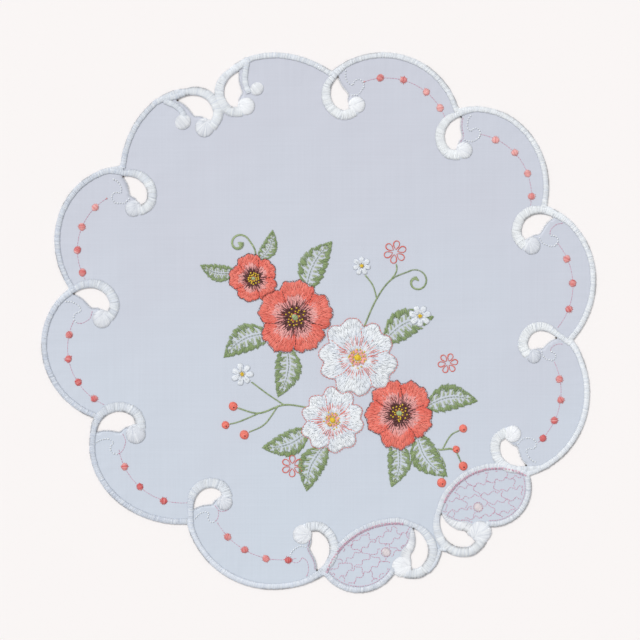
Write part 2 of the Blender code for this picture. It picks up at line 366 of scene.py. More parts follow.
# Places along the satin, by which the cloth rises and puckers beside it.
sampleRows = [spaced(line, 1.5) for line, _ in satinLines]
samplePlaces = np.vstack(sampleRows)
samplePassed = np.concatenate([passed(row) + 31.0 * i for i, row in enumerate(sampleRows)])
sampleAhead = np.vstack([headings(row) for row in sampleRows])


def treeOf(points):
    # for finding the nearest of many points
    tree = KDTree(len(points))
    for i, (x, y) in enumerate(points):
        tree.insert((x, y, 0.0), i)
    tree.balance()
    return tree


sampleTree = treeOf(samplePlaces)


def lie(points):
    # the height of the cloth's upper face
    found = [sampleTree.find((x, y, 0.0))[1:] for x, y in points]
    picks = np.array([hit[0] for hit in found])
    near = np.array([hit[1] for hit in found])
    onward = np.sum((points - samplePlaces[picks]) * sampleAhead[picks], axis=1)
    phase = (samplePassed[picks] + onward) * (2 * np.pi / cloth["puckerLength"])
    raised = (cloth["edgeLift"] - cloth["middleLift"]) * np.exp(-near / cloth["liftReach"])
    lift = cloth["middleLift"] + raised
    fade = np.exp(-near / cloth["puckerReach"]) * (near / 3).clip(0, 1)
    ripple = np.sin(phase + 1.3 * np.sin(phase * 0.37)) * fade
    x, y = points[:, 0], points[:, 1]
    turn = 2 * np.pi / cloth["swellLength"]
    swell = np.sin(turn * (x + 0.35 * y) + 0.8) * np.sin(turn * (0.86 * y - 0.3 * x) + 2.1)
    swell = swell + 0.6 * np.sin(turn * (1.9 * x - 1.1 * y)) * np.sin(turn * 1.6 * (y + 0.4 * x) + 0.5)
    return np.maximum(lift + cloth["pucker"] * ripple + cloth["swell"] * swell, cloth["thickness"] + 0.03)


def addPiece(name, places, corners, slot, finish, smooth=True, **facts):
    # a mesh of triangles in the cloth's own millimetres, as a piece that rides on the frame
    mesh = bpy.data.meshes.new(name)
    count = len(corners)
    placed = np.array(places, float)
    placed[:, :2] -= middle
    mesh.vertices.add(len(placed))
    mesh.vertices.foreach_set("co", (placed * mm).astype(np.float32).ravel())
    mesh.loops.add(3 * count)
    mesh.loops.foreach_set("vertex_index", np.asarray(corners, np.int32).ravel())
    mesh.polygons.add(count)
    mesh.polygons.foreach_set("loop_start", np.arange(0, 3 * count, 3, dtype=np.int32))
    mesh.polygons.foreach_set("use_smooth", np.broadcast_to(smooth, count).astype(bool))
    mesh.update(calc_edges=True)
    mesh.validate()
    for key, values in facts.items():
        mesh.attributes.new(key, "FLOAT", "POINT").data.foreach_set("value", values.astype(np.float32))
    mesh.materials.append(finish)
    piece = bpy.data.objects.new(name, mesh)
    bpy.context.scene.collection.objects.link(piece)
    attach(piece, "root")
    print(f"{name}: {count} triangles")
    return piece


class Wire:
    # one socket of a material's nodes; sums written with it become nodes
    def __init__(self, tree, socket=None):
        self.tree = tree
        self.socket = socket

    def make(self, kind, settings=None, inputs=None, out=0):
        node = self.tree.nodes.new("ShaderNode" + kind)
        for key, value in (settings or {}).items():
            setattr(node, key, value)
        for key, value in (inputs or {}).items():
            self.plug(node.inputs[key], value)
        return Wire(self.tree, node.outputs[out])

    def plug(self, socket, value):
        if isinstance(value, Wire):
            self.tree.links.new(value.socket, socket)
        else:
            socket.default_value = value

    def sum(self, operation, a, b):
        first = a if isinstance(a, Wire) else b
        if first.socket.type == "VALUE":
            return self.make("Math", {"operation": operation}, {0: a, 1: b})
        if operation == "MULTIPLY" and not (isinstance(a, Wire) and isinstance(b, Wire)):
            return self.make("VectorMath", {"operation": "SCALE"}, {0: first, 3: b if first is a else a})
        return self.make("VectorMath", {"operation": operation}, {0: a, 1: b})

    def __add__(self, other):
        return self.sum("ADD", self, other)

    def __radd__(self, other):
        return self.sum("ADD", other, self)

    def __sub__(self, other):
        return self.sum("SUBTRACT", self, other)

    def __rsub__(self, other):
        return self.sum("SUBTRACT", other, self)

    def __mul__(self, other):
        return self.sum("MULTIPLY", self, other)

    def __rmul__(self, other):
        return self.sum("MULTIPLY", other, self)

    def wave(self):
        # 0 to 1 and back for every 2 pi
        return self.make("Math", {"operation": "SINE"}, {0: self}) * 0.5 + 0.5

    def mixed(self, factor, a, b):
        return self.make("Mix", {"data_type": "RGBA"}, {0: factor, 6: a, 7: b}, out=2)

    def clipped(self, low, high):
        # 0 below low, 1 above high
        return self.make("MapRange", {"interpolation_type": "SMOOTHSTEP"}, {0: self, 1: low, 2: high})


def linear(red, green, blue):
    # a colour read as 0 to 255 on a screen, as a shader wants it
    return (*(((part / 255 + 0.055) / 1.055) ** 2.4 for part in (red, green, blue)), 1.0)


def newFinish(name, roughness, sheen=0.0):
    material = bpy.data.materials.new(name)
    material.use_nodes = True
    shader = material.node_tree.nodes["Principled BSDF"]
    shader.inputs["Roughness"].default_value = roughness
    shader.inputs["Sheen Weight"].default_value = sheen
    shader.inputs["Sheen Roughness"].default_value = 0.4
    return material, shader, Wire(material.node_tree)


def threadFinish(name, dark, light, depth=0.03):
    # twisted, glossy thread: each stitch its own tone and painted light, with painted shade in the low part
    # of each twist, greyer and scorched at a cut edge; deep for packed threads
    material, shader, nodes = newFinish(name, 0.36, 0.15)
    tint = nodes.make("Attribute", {"attribute_name": "tint"}, out=2)
    length = nodes.make("Attribute", {"attribute_name": "length"}, out=2)
    scorch = nodes.make("Attribute", {"attribute_name": "scorch"}, out=2)
    twist = (length * (2 * math.pi / thread["twist"])).wave()
    # painted shade: the colour darker where the twist's bump is low, in the grooves between plies and
    # between packed threads
    colour = nodes.mixed(tint + twist * min(depth * 4, 0.4) - min(depth * 2, 0.2), dark, light)
    colour = nodes.mixed(scorch, colour, linear(78, 66, 56))
    bump = nodes.make("Bump", {}, {"Strength": 0.5, "Distance": depth * mm, "Height": twist})
    nodes.plug(shader.inputs["Base Color"], colour)
    nodes.plug(shader.inputs["Normal"], bump)
    return material


thread = {
    "radius": 0.29,
    "flatness": 0.62,
    "twist": 0.55,  # length of one turn of the plies, and from one packed thread to the next
    "packedDepth": 0.09,
}


class Spool:
    # every stitch sewn in one thread, joined into one mesh
    def __init__(self, name, colour, radius=thread["radius"]):
        self.name = name
        self.colour = colour
        self.radius = radius
        self.places = []
        self.corners = []
        self.facts = {"tint": [], "length": [], "scorch": []}
        self.count = 0

    def sew(self, paths, scorch=None, shade=0.5, spread=0.22):
        # paths is stitches x points x 3; each becomes a closed four-sided thread with pointed ends
        stitches, steps = paths.shape[:2]
        if not stitches:
            return
        ahead = unit(np.gradient(paths, axis=1))
        side = unit(np.cross(ahead, (0.0, 0.0, 1.0)))
        top = np.cross(side, ahead)
        rings = steps - 2
        size = self.radius * (1 + 0.12 * chance.randn(stitches, 1, 1))
        taper = np.ones(rings)
        taper[[0, -1]] = 0.8
        across = side[:, 1:-1] * size * taper[:, None]
        above = top[:, 1:-1] * size * taper[:, None] * thread["flatness"]
        body = paths[:, 1:-1]
        round4 = np.stack((body + across, body + above, body - across, body - above), axis=2)
        made = np.concatenate((paths[:, :1], round4.reshape(stitches, -1, 3), paths[:, -1:]), axis=1)
        perStitch = 2 + 4 * rings
        corners = []
        last = perStitch - 1
        for k in range(4):
            after = (k + 1) % 4
            corners.append((0, 1 + k, 1 + after))
            corners.append((last, last - 4 + after, last - 4 + k))
            for r in range(rings - 1):
                a, b = 1 + 4 * r + k, 1 + 4 * r + after
                corners += [(a, a + 4, b + 4), (a, b + 4, b)]
        starts = self.count + perStitch * np.arange(stitches)[:, None, None]
        self.corners.append((np.array(corners)[None] + starts).reshape(-1, 3))
        self.places.append(made.reshape(-1, 3))
        self.count += stitches * perStitch
        grown = np.zeros((stitches, steps))
        grown[:, 1:] = np.cumsum(apart(paths[:, 1:], paths[:, :-1]), axis=1)
        tint = np.clip(shade + spread * chance.randn(stitches, 1), 0, 1) * np.ones((1, steps))
        burnt = np.zeros((stitches, steps)) if scorch is None else scorch
        for key, values in (("tint", tint), ("length", grown), ("scorch", burnt)):
            inner = np.repeat(values[:, 1:-1], 4, axis=1)
            self.facts[key].append(np.concatenate((values[:, :1], inner, values[:, -1:]), axis=1).ravel())

    def piece(self):
        facts = {key: np.concatenate(values) for key, values in self.facts.items()}
        places, corners = np.vstack(self.places), np.vstack(self.corners)
        return addPiece(self.name, places, corners, slots[self.colour], threads[self.colour], **facts)


threadColours = {
    "white": (linear(211, 219, 233), linear(250, 253, 255)),
    "silver": (linear(176, 184, 200), linear(250, 252, 255)),
    "coral": (linear(234, 98, 82), linear(254, 152, 136)),
    "bead": (linear(220, 94, 96), linear(255, 198, 194)),
    "pink": (linear(226, 138, 138), linear(250, 188, 182)),
    "brown": (linear(62, 26, 30), linear(112, 56, 56)),
    "green": (linear(128, 152, 98), linear(196, 210, 164)),
    "yellow": (linear(222, 178, 24), linear(250, 222, 70)),
    "link": (linear(210, 130, 160), linear(244, 184, 206)),
    "beige": (linear(220, 210, 214), linear(240, 232, 234)),
}
threads = {key: threadFinish(key + "Thread", *tones) for key, tones in threadColours.items()}
packed = {}
for key in ("white", "coral", "green"):
    packed[key] = threadFinish(key + "Packed", *threadColours[key], thread["packedDepth"])
slots = {key: key + "_thread" for key in threadColours}
slots.update(bead="coral_thread", link="pink_thread", beige="white_thread", silver="white_thread")

# The satin border.
satin = {
    "rise": 0.74,
    "roundness": 0.46,
    "lighter": 0.0,  # than white thread is elsewhere
    "pitch": 0.47,
    "points": 7,
    "slant": 0.10,  # how far a stitch runs ahead across half the band
    "rag": 0.13,  # how unevenly the stitches end
    "uneven": 0.05,  # and lie and rise
    "beyond": 1.12,  # how far out its ends are tested for a cut edge, in half widths
    "wrap": 0.55,  # how far they dip round a cut edge
    "lowest": 0.19,
    "scorchShare": 0.42,
    "scorchPatch": 9.0,
    "edgeGrey": 0.12,  # greyer towards a cut edge
    "edgeGreyPatch": 21.0,
    "tipSpeck": 1.5,  # how far the dark specks reach at the tips of the holes
    "paintedShading": 0.3,  # painted shade and light: its white painted cooler and darker to the left and below, brighter to the right and above
    "widerLighter": 0.09,  # and brighter where it is wider, by this much a millimetre
    "padWidth": 0.9,
    "padDrop": 0.16,
}


def patchy(points, size, seed):
    # a soft uneven value from 0 to 1 over the cloth
    x, y = points[..., 0] / size, points[..., 1] / size
    value = np.sin(x * 1.7 + seed) * np.cos(y * 1.3 - 2 * seed) + np.sin(x * 0.61 - y * 0.83 + 3 * seed)
    return 0.5 + 0.25 * (value + 0.6 * np.sin(2.9 * x + 2.3 * y + seed) * np.sin(3.1 * y - 1.7 * x))


def paintedLight(points):
    # painted light and shade: how light the white thread is painted at each place, darker to the left and
    # below
    return (0.5 + satin["paintedShading"] * (points @ np.array((0.8, 0.5))) / 200.0)[:, None]


def lineAt(line, widths, pitch, rag=0.0):
    # places along a line a pitch apart, with the way ahead and the width at each
    reached = passed(line)
    count = max(2, int(reached[-1] / pitch))
    places = (np.arange(count) + 0.5) * reached[-1] / count + rag * chance.randn(count)
    here = pointsAt(line, places)
    ahead = np.stack([np.interp(places, reached, way) for way in headings(line).T], axis=1)
    return here, unit(ahead), np.interp(places, reached, widths)


def satinRow(spool, line, widths, row):
    # stitches laid side by side across a line, over a rounded padding
    here, ahead, width = lineAt(line, widths, row["pitch"], row["rag"] * 0.3)
    count = len(here)
    t = eased(row["points"])
    half = width[:, None] / 2
    ends = 1 + (row["rag"] * chance.randn(count, 2) / half).clip(-0.2, 0.2)
    lateral = np.where(t < 0, t * ends[:, :1], t * ends[:, 1:]) * half
    flat = rowsAcross(here, ahead, lateral)
    lead = row["slant"] * t * half + satin["uneven"] * chance.randn(count, 1) * (1 - t * t)
    flat = flat + ahead[:, None] * lead[..., None]
    beyond = rowsAcross(here, ahead, half * np.array((-1, 1)) * satin["beyond"])
    free = ~onCloth(beyond.reshape(-1, 2)).reshape(count, 2)
    cut = np.where(t < 0, free[:, :1], free[:, 1:])
    full = row["rise"] * (1 + satin["uneven"] * chance.randn(count, 1))
    height = full * (1 - t * t).clip(0, 1) ** satin["roundness"]
    dip = (cut * satin["wrap"] + 0.06) * np.abs(t) ** 6
    z = np.maximum(lie(here)[:, None] + height - dip, satin["lowest"])
    burn = patchy(flat, satin["scorchPatch"], 1.7) > 1 - row["scorchShare"]
    burn = burn * chance.uniform(0.4, 1, (count, 1)) * np.abs(t) ** 3
    edgeGrey = satin["edgeGrey"] * patchy(flat, satin["edgeGreyPatch"], 0.6) * np.abs(t) ** 1.5
    toTip = apart(flat[:, :, None], holeTips).min(axis=2)
    speck = 0.9 * (toTip < satin["tipSpeck"]) * np.abs(t) ** 4
    wider = (width[:, None] - border["edgeWidth"]).clip(0)
    # painted light and shade on the satin, lighter again for some rows and where the band is wider
    shade = paintedLight(here) + row["lighter"] + satin["widerLighter"] * wider
    spool.sew(np.dstack((flat, z)), np.maximum(np.maximum(burn, edgeGrey), speck) * cut, shade, 0.15)


def loft(sections):
    # a closed tube through rows of section points
    rows, around = sections.shape[:2]
    corners = []
    for r in range(rows - 1):
        for k in range(around):
            a, b = r * around + k, r * around + (k + 1) % around
            corners += [(a, b, b + around), (a, b + around, a + around)]
    tips = rows * around
    for k in range(around):
        after = (k + 1) % around
        corners.append((tips, after, k))
        corners.append((tips + 1, (rows - 1) * around + k, (rows - 1) * around + after))
    ends = np.stack((sections[0].mean(axis=0), sections[-1].mean(axis=0)))
    return np.vstack((sections.reshape(-1, 3), ends)), np.array(corners)


def outwards(places, corners):
    # the triangles turned so that the closed mesh faces out
    a, b, c = ((places - places[0])[corners[:, k]] for k in range(3))
    return corners if np.sum(np.cross(a, b) * c) > 0 else corners[:, ::-1]


def paddingFor(line, widths, rise):
    # the padding that the satin covers, down to the table
    here, ahead, width = lineAt(line, widths, 1.6)
    turn = turns(12)
    lateral = np.cos(turn)[None] * width[:, None] / 2 * satin["padWidth"]
    flat = rowsAcross(here, ahead, lateral)
    ground = lie(here)[:, None]
    waist = ground - 0.3
    crest = waist + (rise + 0.3 - satin["padDrop"]) * np.abs(np.sin(turn)) ** 0.8
    z = np.where(np.sin(turn) >= 0, crest, waist + (waist - 0.03) * np.sin(turn))
    places, corners = loft(np.dstack((flat, z)))
    along = np.repeat(passed(here), len(turn))
    return places, corners, np.concatenate((along, along[[0, -1]]))


def addPacked(name, colour, parts):
    # several closed meshes as one piece, lined like packed threads with bumps and painted shade between
    # them, each part with its threads' places
    places = []
    corners = []
    lengths = []
    count = 0
    for some, tris, along in parts:
        places.append(some)
        corners.append(outwards(some, tris) + count)
        lengths.append(along)
        count += len(some)
    facts = {"tint": np.full(count, 0.35), "length": np.concatenate(lengths), "scorch": np.zeros(count)}
    return addPiece(name, np.vstack(places), np.vstack(corners), slots[colour], packed[colour], **facts)


def groundUnder(flat):
    # the cloth's height under rows of points
    return lie(flat.reshape(-1, 2)).reshape(flat.shape[:2])


def overPad(flat, centre, radius, rise, sink):
    # stitches lifted over a round pad
    away = apart(flat, centre) / radius
    return np.dstack((flat, groundUnder(flat) - sink + rise * (1 - away**2).clip(0, 1) ** 0.5))


def inFours(length, pitch):
    # how many rays a pitch apart fit on a length, as a multiple of four
    return int(length / pitch / 4) * 4


def roomFor(count, odd, third, first):
    # where a fan's rays start: every other one stops short of the middle, where there is no room for it
    rank = np.arange(count) % 4
    return np.select([rank % 2 == 1, rank == 2], [odd, third], first)


ballWork = {
    "pitch": 0.44,
    "sink": 0.1,  # how far its threads' ends go down
    "pivotSink": 0.35,
    "room": (0.34, 0.17, -0.05),
    "ragged": 0.02,
    "padRadius": 0.94,  # of the padding, in shares of the ball's
    "padFoot": 0.9,
}


def ballStitches(centre, radius, rise, bearing, points=6, pitch=ballWork["pitch"]):
    # stitches laid side by side over a round pad
    ahead = at(bearing, 1.0)
    side = turned(ahead)
    rows = np.arange(-radius + pitch / 2, radius, pitch)
    half = np.sqrt(np.maximum(radius**2 - rows**2, 0.3))
    half = half + 0.08 * chance.randn(len(rows))
    flat = centre + side * rows[:, None, None] + ahead * (eased(points) * half[:, None])[..., None]
    return overPad(flat, centre, radius, rise, ballWork["sink"])


def fanStitches(centre, radius, rise, pivot, points=7):
    # stitches spread like a fan from a pivot at a pad's rim
    turn = pivot - centre
    start = math.atan2(turn[1], turn[0])
    count = inFours(2 * np.pi * radius * 0.97, satin["pitch"])
    sweep = start + np.linspace(0.03, 1.97, count) * np.pi
    ends = centre + towards(sweep) * radius * (1 + ballWork["ragged"] * chance.randn(count, 1))
    room = roomFor(count, *ballWork["room"])[:, None, None]
    t = (1 + eased(points)[..., None]) / 2
    flat = pivot + (ends[:, None] - pivot) * (room + (1 - room) * t)
    sink = np.where(np.arange(points) == 0, ballWork["pivotSink"], ballWork["sink"])
    sink = sink * (1 + 0.2 * chance.randn(count, 1))
    return overPad(flat, centre, radius, rise, sink)


def dome(centre, radius, rise):
    # the padding under a ball
    levels = np.linspace(0.06, 1.0, 6)
    ring = towards(turns(18))
    ground = lie(centre[None])[0]
    sections = []
    for level in levels[::-1]:
        flat = centre + ring * radius * ballWork["padRadius"] * level
        height = ground - 0.2 + (rise - 0.05) * math.sqrt(1 - (0.97 * level) ** 2)
        sections.append(np.column_stack((flat, np.full(len(ring), height))))
    under = np.column_stack((centre + ring * radius * ballWork["padFoot"], np.full(len(ring), 0.04)))
    places, corners = loft(np.array([under, *sections]))
    return places, corners, places[:, 0] * 0.6 + places[:, 1] * 0.8


joins = {
    "under": 1.8,  # how far a row of satin runs on under its neighbour
    "hookUnder": 3.2,
    "intoBall": 0.72,  # where a curl's satin ends, in shares of its ball's radius
    "bareWidth": 3.2,  # of the satin laid where the edge would show bare
    "short": 0.9,  # how far short of the edge the satin may stop
    "rise": 0.62,
    "padRise": 0.6,
    "ballRise": 1.1,
    "hookShine": 0.85,
}


def offBall(points, curl, gap=0.0, share=1.0):
    # which points a curl's ball doesn't cover
    return apart(points, onCurl(curl, ballAt)) > share * border["ballShare"] * curl.length + gap


def extended(line, widths, before, after=0.01):
    # a row of satin run on at its ends, so that it dives under its neighbour
    first = line[:1] + unit(line[:1] - line[1:2]) * before
    last = line[-1:] + unit(line[-1:] - line[-2:-1]) * after
    return np.vstack((first, line, last)), np.concatenate((widths[:1], widths, widths[-1:]))


def runsOf(flags, least):
    # the first and last places of each run of trues
    ends = np.flatnonzero(np.diff(np.concatenate(([0], flags.astype(int), [0]))))
    return [(a, b) for a, b in zip(ends[::2], ends[1::2]) if b - a > least]


def bareRuns():
    # the parts of the edge that no satin reaches yet, a little longer at each end
    rows = zip(sampleRows, satinLines)
    widths = np.concatenate([np.interp(passed(row), passed(line), wide) for row, (line, wide) in rows])
    edge = moved(spaced(closed(rim), 0.8)[:-1], -joins["bareWidth"] / 2)
    found = [sampleTree.find((x, y, 0.0))[1:] for x, y in edge]
    gaps = np.array([distance - widths[pick] / 2 for pick, distance in found])
    bare = gaps > joins["short"] - joins["bareWidth"] / 2
    for centre, radius in balls:
        bare &= apart(edge, centre) > radius
    bare = np.convolve(np.r_[bare[-3:], bare, bare[:3]].astype(float), np.ones(7), "valid") > 0
    return [edge[a:b] for a, b in runsOf(bare, 3)]


def restOfEdge(curl):
    # the last of the edge, past where the satin leaves it for the curl
    feed = edgeFeed(curl.feed)
    rest = feed[max(leavesAt(feed, curl) - 4, 0) :]
    return np.vstack((rest, rest[-1:] + (rest[-1:] - rest[-2:-1]) * 1.2))


satinRight = Spool("satinRight", "white")
satinLeft = Spool("satinLeft", "white")
for i, (line, widths) in enumerate(satinLines):
    spool = satinRight if line[len(line) // 2][0] > 0 else satinLeft
    if i < len(allCurls):
        line, widths = extended(line, widths, joins["under"])
        kept = offBall(line, allCurls[i], share=joins["intoBall"])
        line, widths = line[kept], widths[kept]
    elif i < len(allCurls) + len(leafEdges):
        line, widths = extended(line, widths, joins["under"], joins["under"])
    else:
        line, widths = extended(line, widths, joins["hookUnder"])
    satinRow(spool, line, widths, satin)
cuspRest = [restOfEdge(curl) for curl in curls]
cuspRest = [(line, np.full(len(line), border["edgeWidth"])) for line in cuspRest if len(line) > 3]
cuspRest += [(line, np.full(len(line), joins["bareWidth"])) for line in bareRuns()]
for line, widths in cuspRest:
    satinRow(satinLeft if line[0][0] < 0 else satinRight, line, widths, {**satin, "rise": joins["rise"]})
for spool in (satinRight, satinLeft):
    spool.piece()
curlBalls = Spool("curlBalls", "silver")
for curl, (centre, radius) in zip(allCurls, balls):
    fan = fanStitches(centre, radius, joins["ballRise"], onCurl(curl, fanAt))
    curlBalls.sew(fan, shade=curl.shine, spread=0.12)
for centre, radius in balls[len(allCurls) :]:
    stitches = ballStitches(centre, radius, joins["ballRise"], 140, 7, satin["pitch"])
    curlBalls.sew(stitches, shade=joins["hookShine"], spread=0.12)
curlBalls.piece()
padParts = [paddingFor(line, widths, satin["rise"]) for line, widths in satinLines]
padParts += [paddingFor(line, widths, joins["padRise"]) for line, widths in cuspRest]
padParts += [dome(centre, radius, joins["ballRise"] + 0.1) for centre, radius in balls]
addPacked("satinPadding", "white", padParts)

# The narrow overcasting along the front of each hole, which widens towards the ball on the leaves.
overcast = {
    "width": 1.3,
    "onEdge": 0.25,  # how much of it hangs over the hole
    "leafWidth": 9.5,
    "afterBall": 0.12,  # where a leaf's begins, past its ball
    "lighter": 0.25,
    "rise": 0.2,
    "pitch": 0.7,
    "points": 6,
    "slant": 0.2,
    "rag": 0.15,
    "scorchShare": 0.4,
}
leafOvercast = {"pitch": satin["pitch"], "rise": 0.3, "scorchShare": 0.2}
specks = {"curls": (1, 2, 4, 5, 6, 9, 10, 11, 12, 13), "radius": 0.6, "rise": 0.7}  # singed tips of holes


def frontRow(curl):
    # the middle of a front's overcasting and its widths, from the round end to the tip
    front = spaced(holeFront(curl), 1.3)
    width = np.full(len(front), overcast["width"])
    if curl in leafCurls:
        front = front[int(overcast["afterBall"] * len(front)) :]
        width = width[-len(front) :]
        width = width + (overcast["leafWidth"] - width) * np.linspace(1, 0, len(front)) ** 0.6
    return beside(front, -curl.hand * (width[:, None] / 2 - overcast["onEdge"])), width


def frontLining(curl, gap):
    # a line on the cloth beside that overcasting
    front, width = frontRow(curl)
    return beside(front, -curl.hand * (width[:, None] / 2 + gap))


holeEdging = Spool("holeEdging", "silver", 0.22)
leafFronts = Spool("leafFronts", "silver")
for curl in curls:
    satinRow(holeEdging, *frontRow(curl), overcast)
for curl in leafCurls:
    satinRow(leafFronts, *frontRow(curl), {**overcast, **leafOvercast})
for number in specks["curls"]:
    speck = ballStitches(holeTips[number], specks["radius"], specks["rise"], 30 * number, pitch=0.3)
    holeEdging.sew(speck, np.ones(speck.shape[:2]))
for spool in (holeEdging, leafFronts):
    spool.piece()

# Straight stitches; each motif keeps clear of those sewn before it.
taken = []


def sewStraight(spool, starts, ends, rise, shade=0.5, spread=0.2, through=False):
    # each stitch runs between the first and last places along it that are free
    tries = np.linspace(0, 1, 9)
    way = ends - starts
    points = (starts[:, None] + way[:, None] * tries[:, None]).reshape(-1, 2)
    free = np.ones(len(points), bool)
    for loop in taken:
        free &= ~inside(points, loop)
    free = free.reshape(-1, len(tries))
    first = free.argmax(axis=1)
    last = len(tries) - 1 - free[:, ::-1].argmax(axis=1)
    kept = free.any(axis=1) & (last - first > 1)
    if not kept.any():
        return
    begin = tries[first[kept], None, None]
    finish = tries[last[kept], None, None]
    t = np.array((0.0, 0.16, 0.5, 0.84, 1.0))[None, :, None]
    flat = starts[kept, None] + way[kept, None] * (begin + (finish - begin) * t)
    up = np.array((-0.12, 0.78, 1.0, 0.78, -0.12))
    lifts = np.broadcast_to(rise, len(starts))[kept, None]
    ground = groundUnder(flat)
    shades = np.broadcast_to(shade, len(starts))[kept, None]
    spool.sew(np.dstack((flat, ground + lifts * up)), None, shades, spread)
    if through:
        beneath = np.maximum(ground - cloth["thickness"] - 0.1 * np.maximum(up, 0), 0.02)
        spool.sew(np.dstack((flat, beneath)), None, shades, spread)


def runningStitch(spool, line, sewing, shade=0.5):
    # short stitches one after another along a line
    step = sewing["length"] + sewing["gap"]
    total = passed(line)[-1]
    count = max(1, round(total / step))
    reach = total / count * sewing["length"] / step / 2
    places = (np.arange(count) + 0.5) * total / count
    stray = sewing["stray"] * chance.randn(2, count, 2)
    starts = pointsAt(line, places - reach) + stray[0]
    ends = pointsAt(line, places + reach) + stray[1]
    sewStraight(spool, starts, ends, sewing["rise"], shade, through=True)


ropeStitch = {"pitch": 0.85, "reach": 0.9, "fromEnd": 0.8, "rise": 0.42}


def rope(spool, line, width, shade=0.5):
    # a stem: slanted stitches that overlap like the turns of a rope
    fromEnd, reach = ropeStitch["fromEnd"], ropeStitch["reach"]
    places = np.arange(fromEnd, passed(line)[-1] - fromEnd, ropeStitch["pitch"])
    starts = pointsAt(beside(line, -width / 2), places - reach)
    ends = pointsAt(beside(line, width / 2), places + reach)
    sewStraight(spool, starts, ends, ropeStitch["rise"], shade, through=True)


def knots(spool, centres, size, rise):
    # little knots, each three crossed stitches
    for turn in (0.3, 1.35, 2.4):
        way = towards(turn) * size / 2
        sewStraight(spool, centres - way, centres + way, rise, 0.6)


beadSewing = Spool("chainBeads", "bead", 0.27)
fringeSewing = Spool("beadFringes", "bead", 0.25)
linkSewing = Spool("chainLinks", "link", 0.17)
dotSewing = Spool("budDots", "white", 0.52)

# The bead chains, each with the curl it leaves, how far its arc stands off to the left of its chord,
# how light its first and last beads are and the shares of its length at which its beads lie.
Chain = namedtuple("Chain", "curl startX startY endX endY rise first last beads")
chains = (
    Chain(1, 31.9, 172.5, 89.9, 146.9, 12.8, 0.45, 0.9, (0.17, 0.41, 0.67, 0.90)),
    Chain(2, 115.3, 134.7, 151.4, 83.2, 13.1, 0.9, 0.65, (0.17, 0.41, 0.66, 0.90)),
    Chain(3, 170.9, 56.4, 170.8, -4.7, 11.1, 0.75, 0.15, (0.20, 0.47, 0.76)),
    Chain(4, 168.4, -28.7, 156.8, -87.2, 10.1, 0.7, 0.05, (0.21, 0.45, 0.69, 0.93)),
    Chain(10, -153.5, 88.5, -168.9, 30.1, -12.4, 0.85, 0.15, (0.15, 0.41, 0.67, 0.92)),
    Chain(9, -176.8, 1.2, -155.2, -59.9, -13.9, 0.55, 0.25, (0.16, 0.40, 0.65, 0.88)),
    Chain(8, -144.7, -92.1, -95.0, -130.4, -12.3, 0.3, 0.15, (0.19, 0.45, 0.74)),
    Chain(7, -73.9, -144.5, -16.9, -170.4, -10.2, 0.6, 0.15, (0.19, 0.42, 0.67, 0.91)),
)
chainWork = {
    "beadRadius": 2.55,
    "beadRise": 0.85,
    "fringe": 2.95,  # how far the threads under a bead reach
    "fringeCount": 13,
    "fringeRise": 0.3,
    "fringeDarker": 0.25,
    "stray": 0.25,  # how far a bead lies off its place
    "uneven": 0.08,  # in how light it is
    "knotSize": 1.3,
    "knotRise": 0.55,
}
linkStitch = {"length": 1.9, "gap": 0.12, "rise": 0.24, "stray": 0.05}
dotStitch = {"length": 1.15, "gap": 0.75, "rise": 0.55, "stray": 0.12}

# The bud between a curl's hole and its chain, in shares of the curl's length: from the edge to its point,
# round its lower lobe and back up to the notch of the hole. Its parts are dots or a line of pink.
budUpper = ((-0.12, -0.29), (0.0, -0.22), (0.15, -0.20), (0.29, -0.23), (0.37, -0.32))
budLower = ((0.37, -0.32), (0.28, -0.41), (0.26, -0.50), (0.31, -0.59), (0.42, -0.63))
budBack = ((0.42, -0.63), (0.54, -0.58), (0.62, -0.47), (0.67, -0.35), (0.63, -0.16))
underBall = ((0.67, -0.37), (0.75, -0.44), (0.90, -0.48), (1.04, -0.44), (1.15, -0.36))
Bud = namedtuple("Bud", "curl upper lower back under", defaults=("dots", "dots", "dots", None))
buds = (
    Bud(1),
    Bud(2),
    Bud(3, upper="line"),
    Bud(4, upper="line"),
    Bud(5),
    Bud(6, upper="line", lower="line"),
    Bud(7, back="line", under="line"),
    Bud(8, back="line"),
    Bud(9, back="line"),
    Bud(10),
)
linedFronts = (2, 6)  # curls whose hole is lined in pink along its front
knotted = (1, 10)  # curls whose chain starts with a knot

beadPlaces = []
for chain in chains:
    line = arc(np.array((chain.startX, chain.startY)), np.array((chain.endX, chain.endY)), chain.rise)
    runningStitch(linkSewing, line, linkStitch)
    if chain.curl in knotted:
        knots(beadSewing, line[:1], chainWork["knotSize"], chainWork["knotRise"])
    for share, centre in zip(chain.beads, pointsAt(line, np.array(chain.beads) * passed(line)[-1])):
        centre = centre + chainWork["stray"] * chance.randn(2)
        size = chainWork["beadRadius"] * (1 + 0.05 * chance.randn())
        bearing = chance.uniform(0, 180)
        spokes = ringOf(0.0, 1.0, chainWork["fringeCount"], bearing)
        reach = chainWork["fringe"] * (1 + 0.1 * chance.randn(len(spokes), 1))
        tone = chain.first + (chain.last - chain.first) * share + chainWork["uneven"] * chance.randn()
        starts, ends, darker = centre + spokes, centre + spokes * reach, tone - chainWork["fringeDarker"]
        sewStraight(fringeSewing, starts, ends, chainWork["fringeRise"], darker)
        beadSewing.sew(ballStitches(centre, size, chainWork["beadRise"], bearing), shade=tone)
        beadPlaces.append((centre, size))
for bud in buds:
    for shape, kind in zip((budUpper, budLower, budBack, underBall), bud[1:]):
        line = curved([onCurl(allCurls[bud.curl], p) for p in shape])
        if kind == "dots":
            runningStitch(dotSewing, line, dotStitch, 1.0)
        elif kind == "line":
            runningStitch(linkSewing, line, linkStitch, 0.4)
for number in linedFronts:
    runningStitch(linkSewing, frontLining(allCurls[number], 0.4), linkStitch, 0.3)
for spool in (beadSewing, fringeSewing, linkSewing, dotSewing):
    spool.piece()

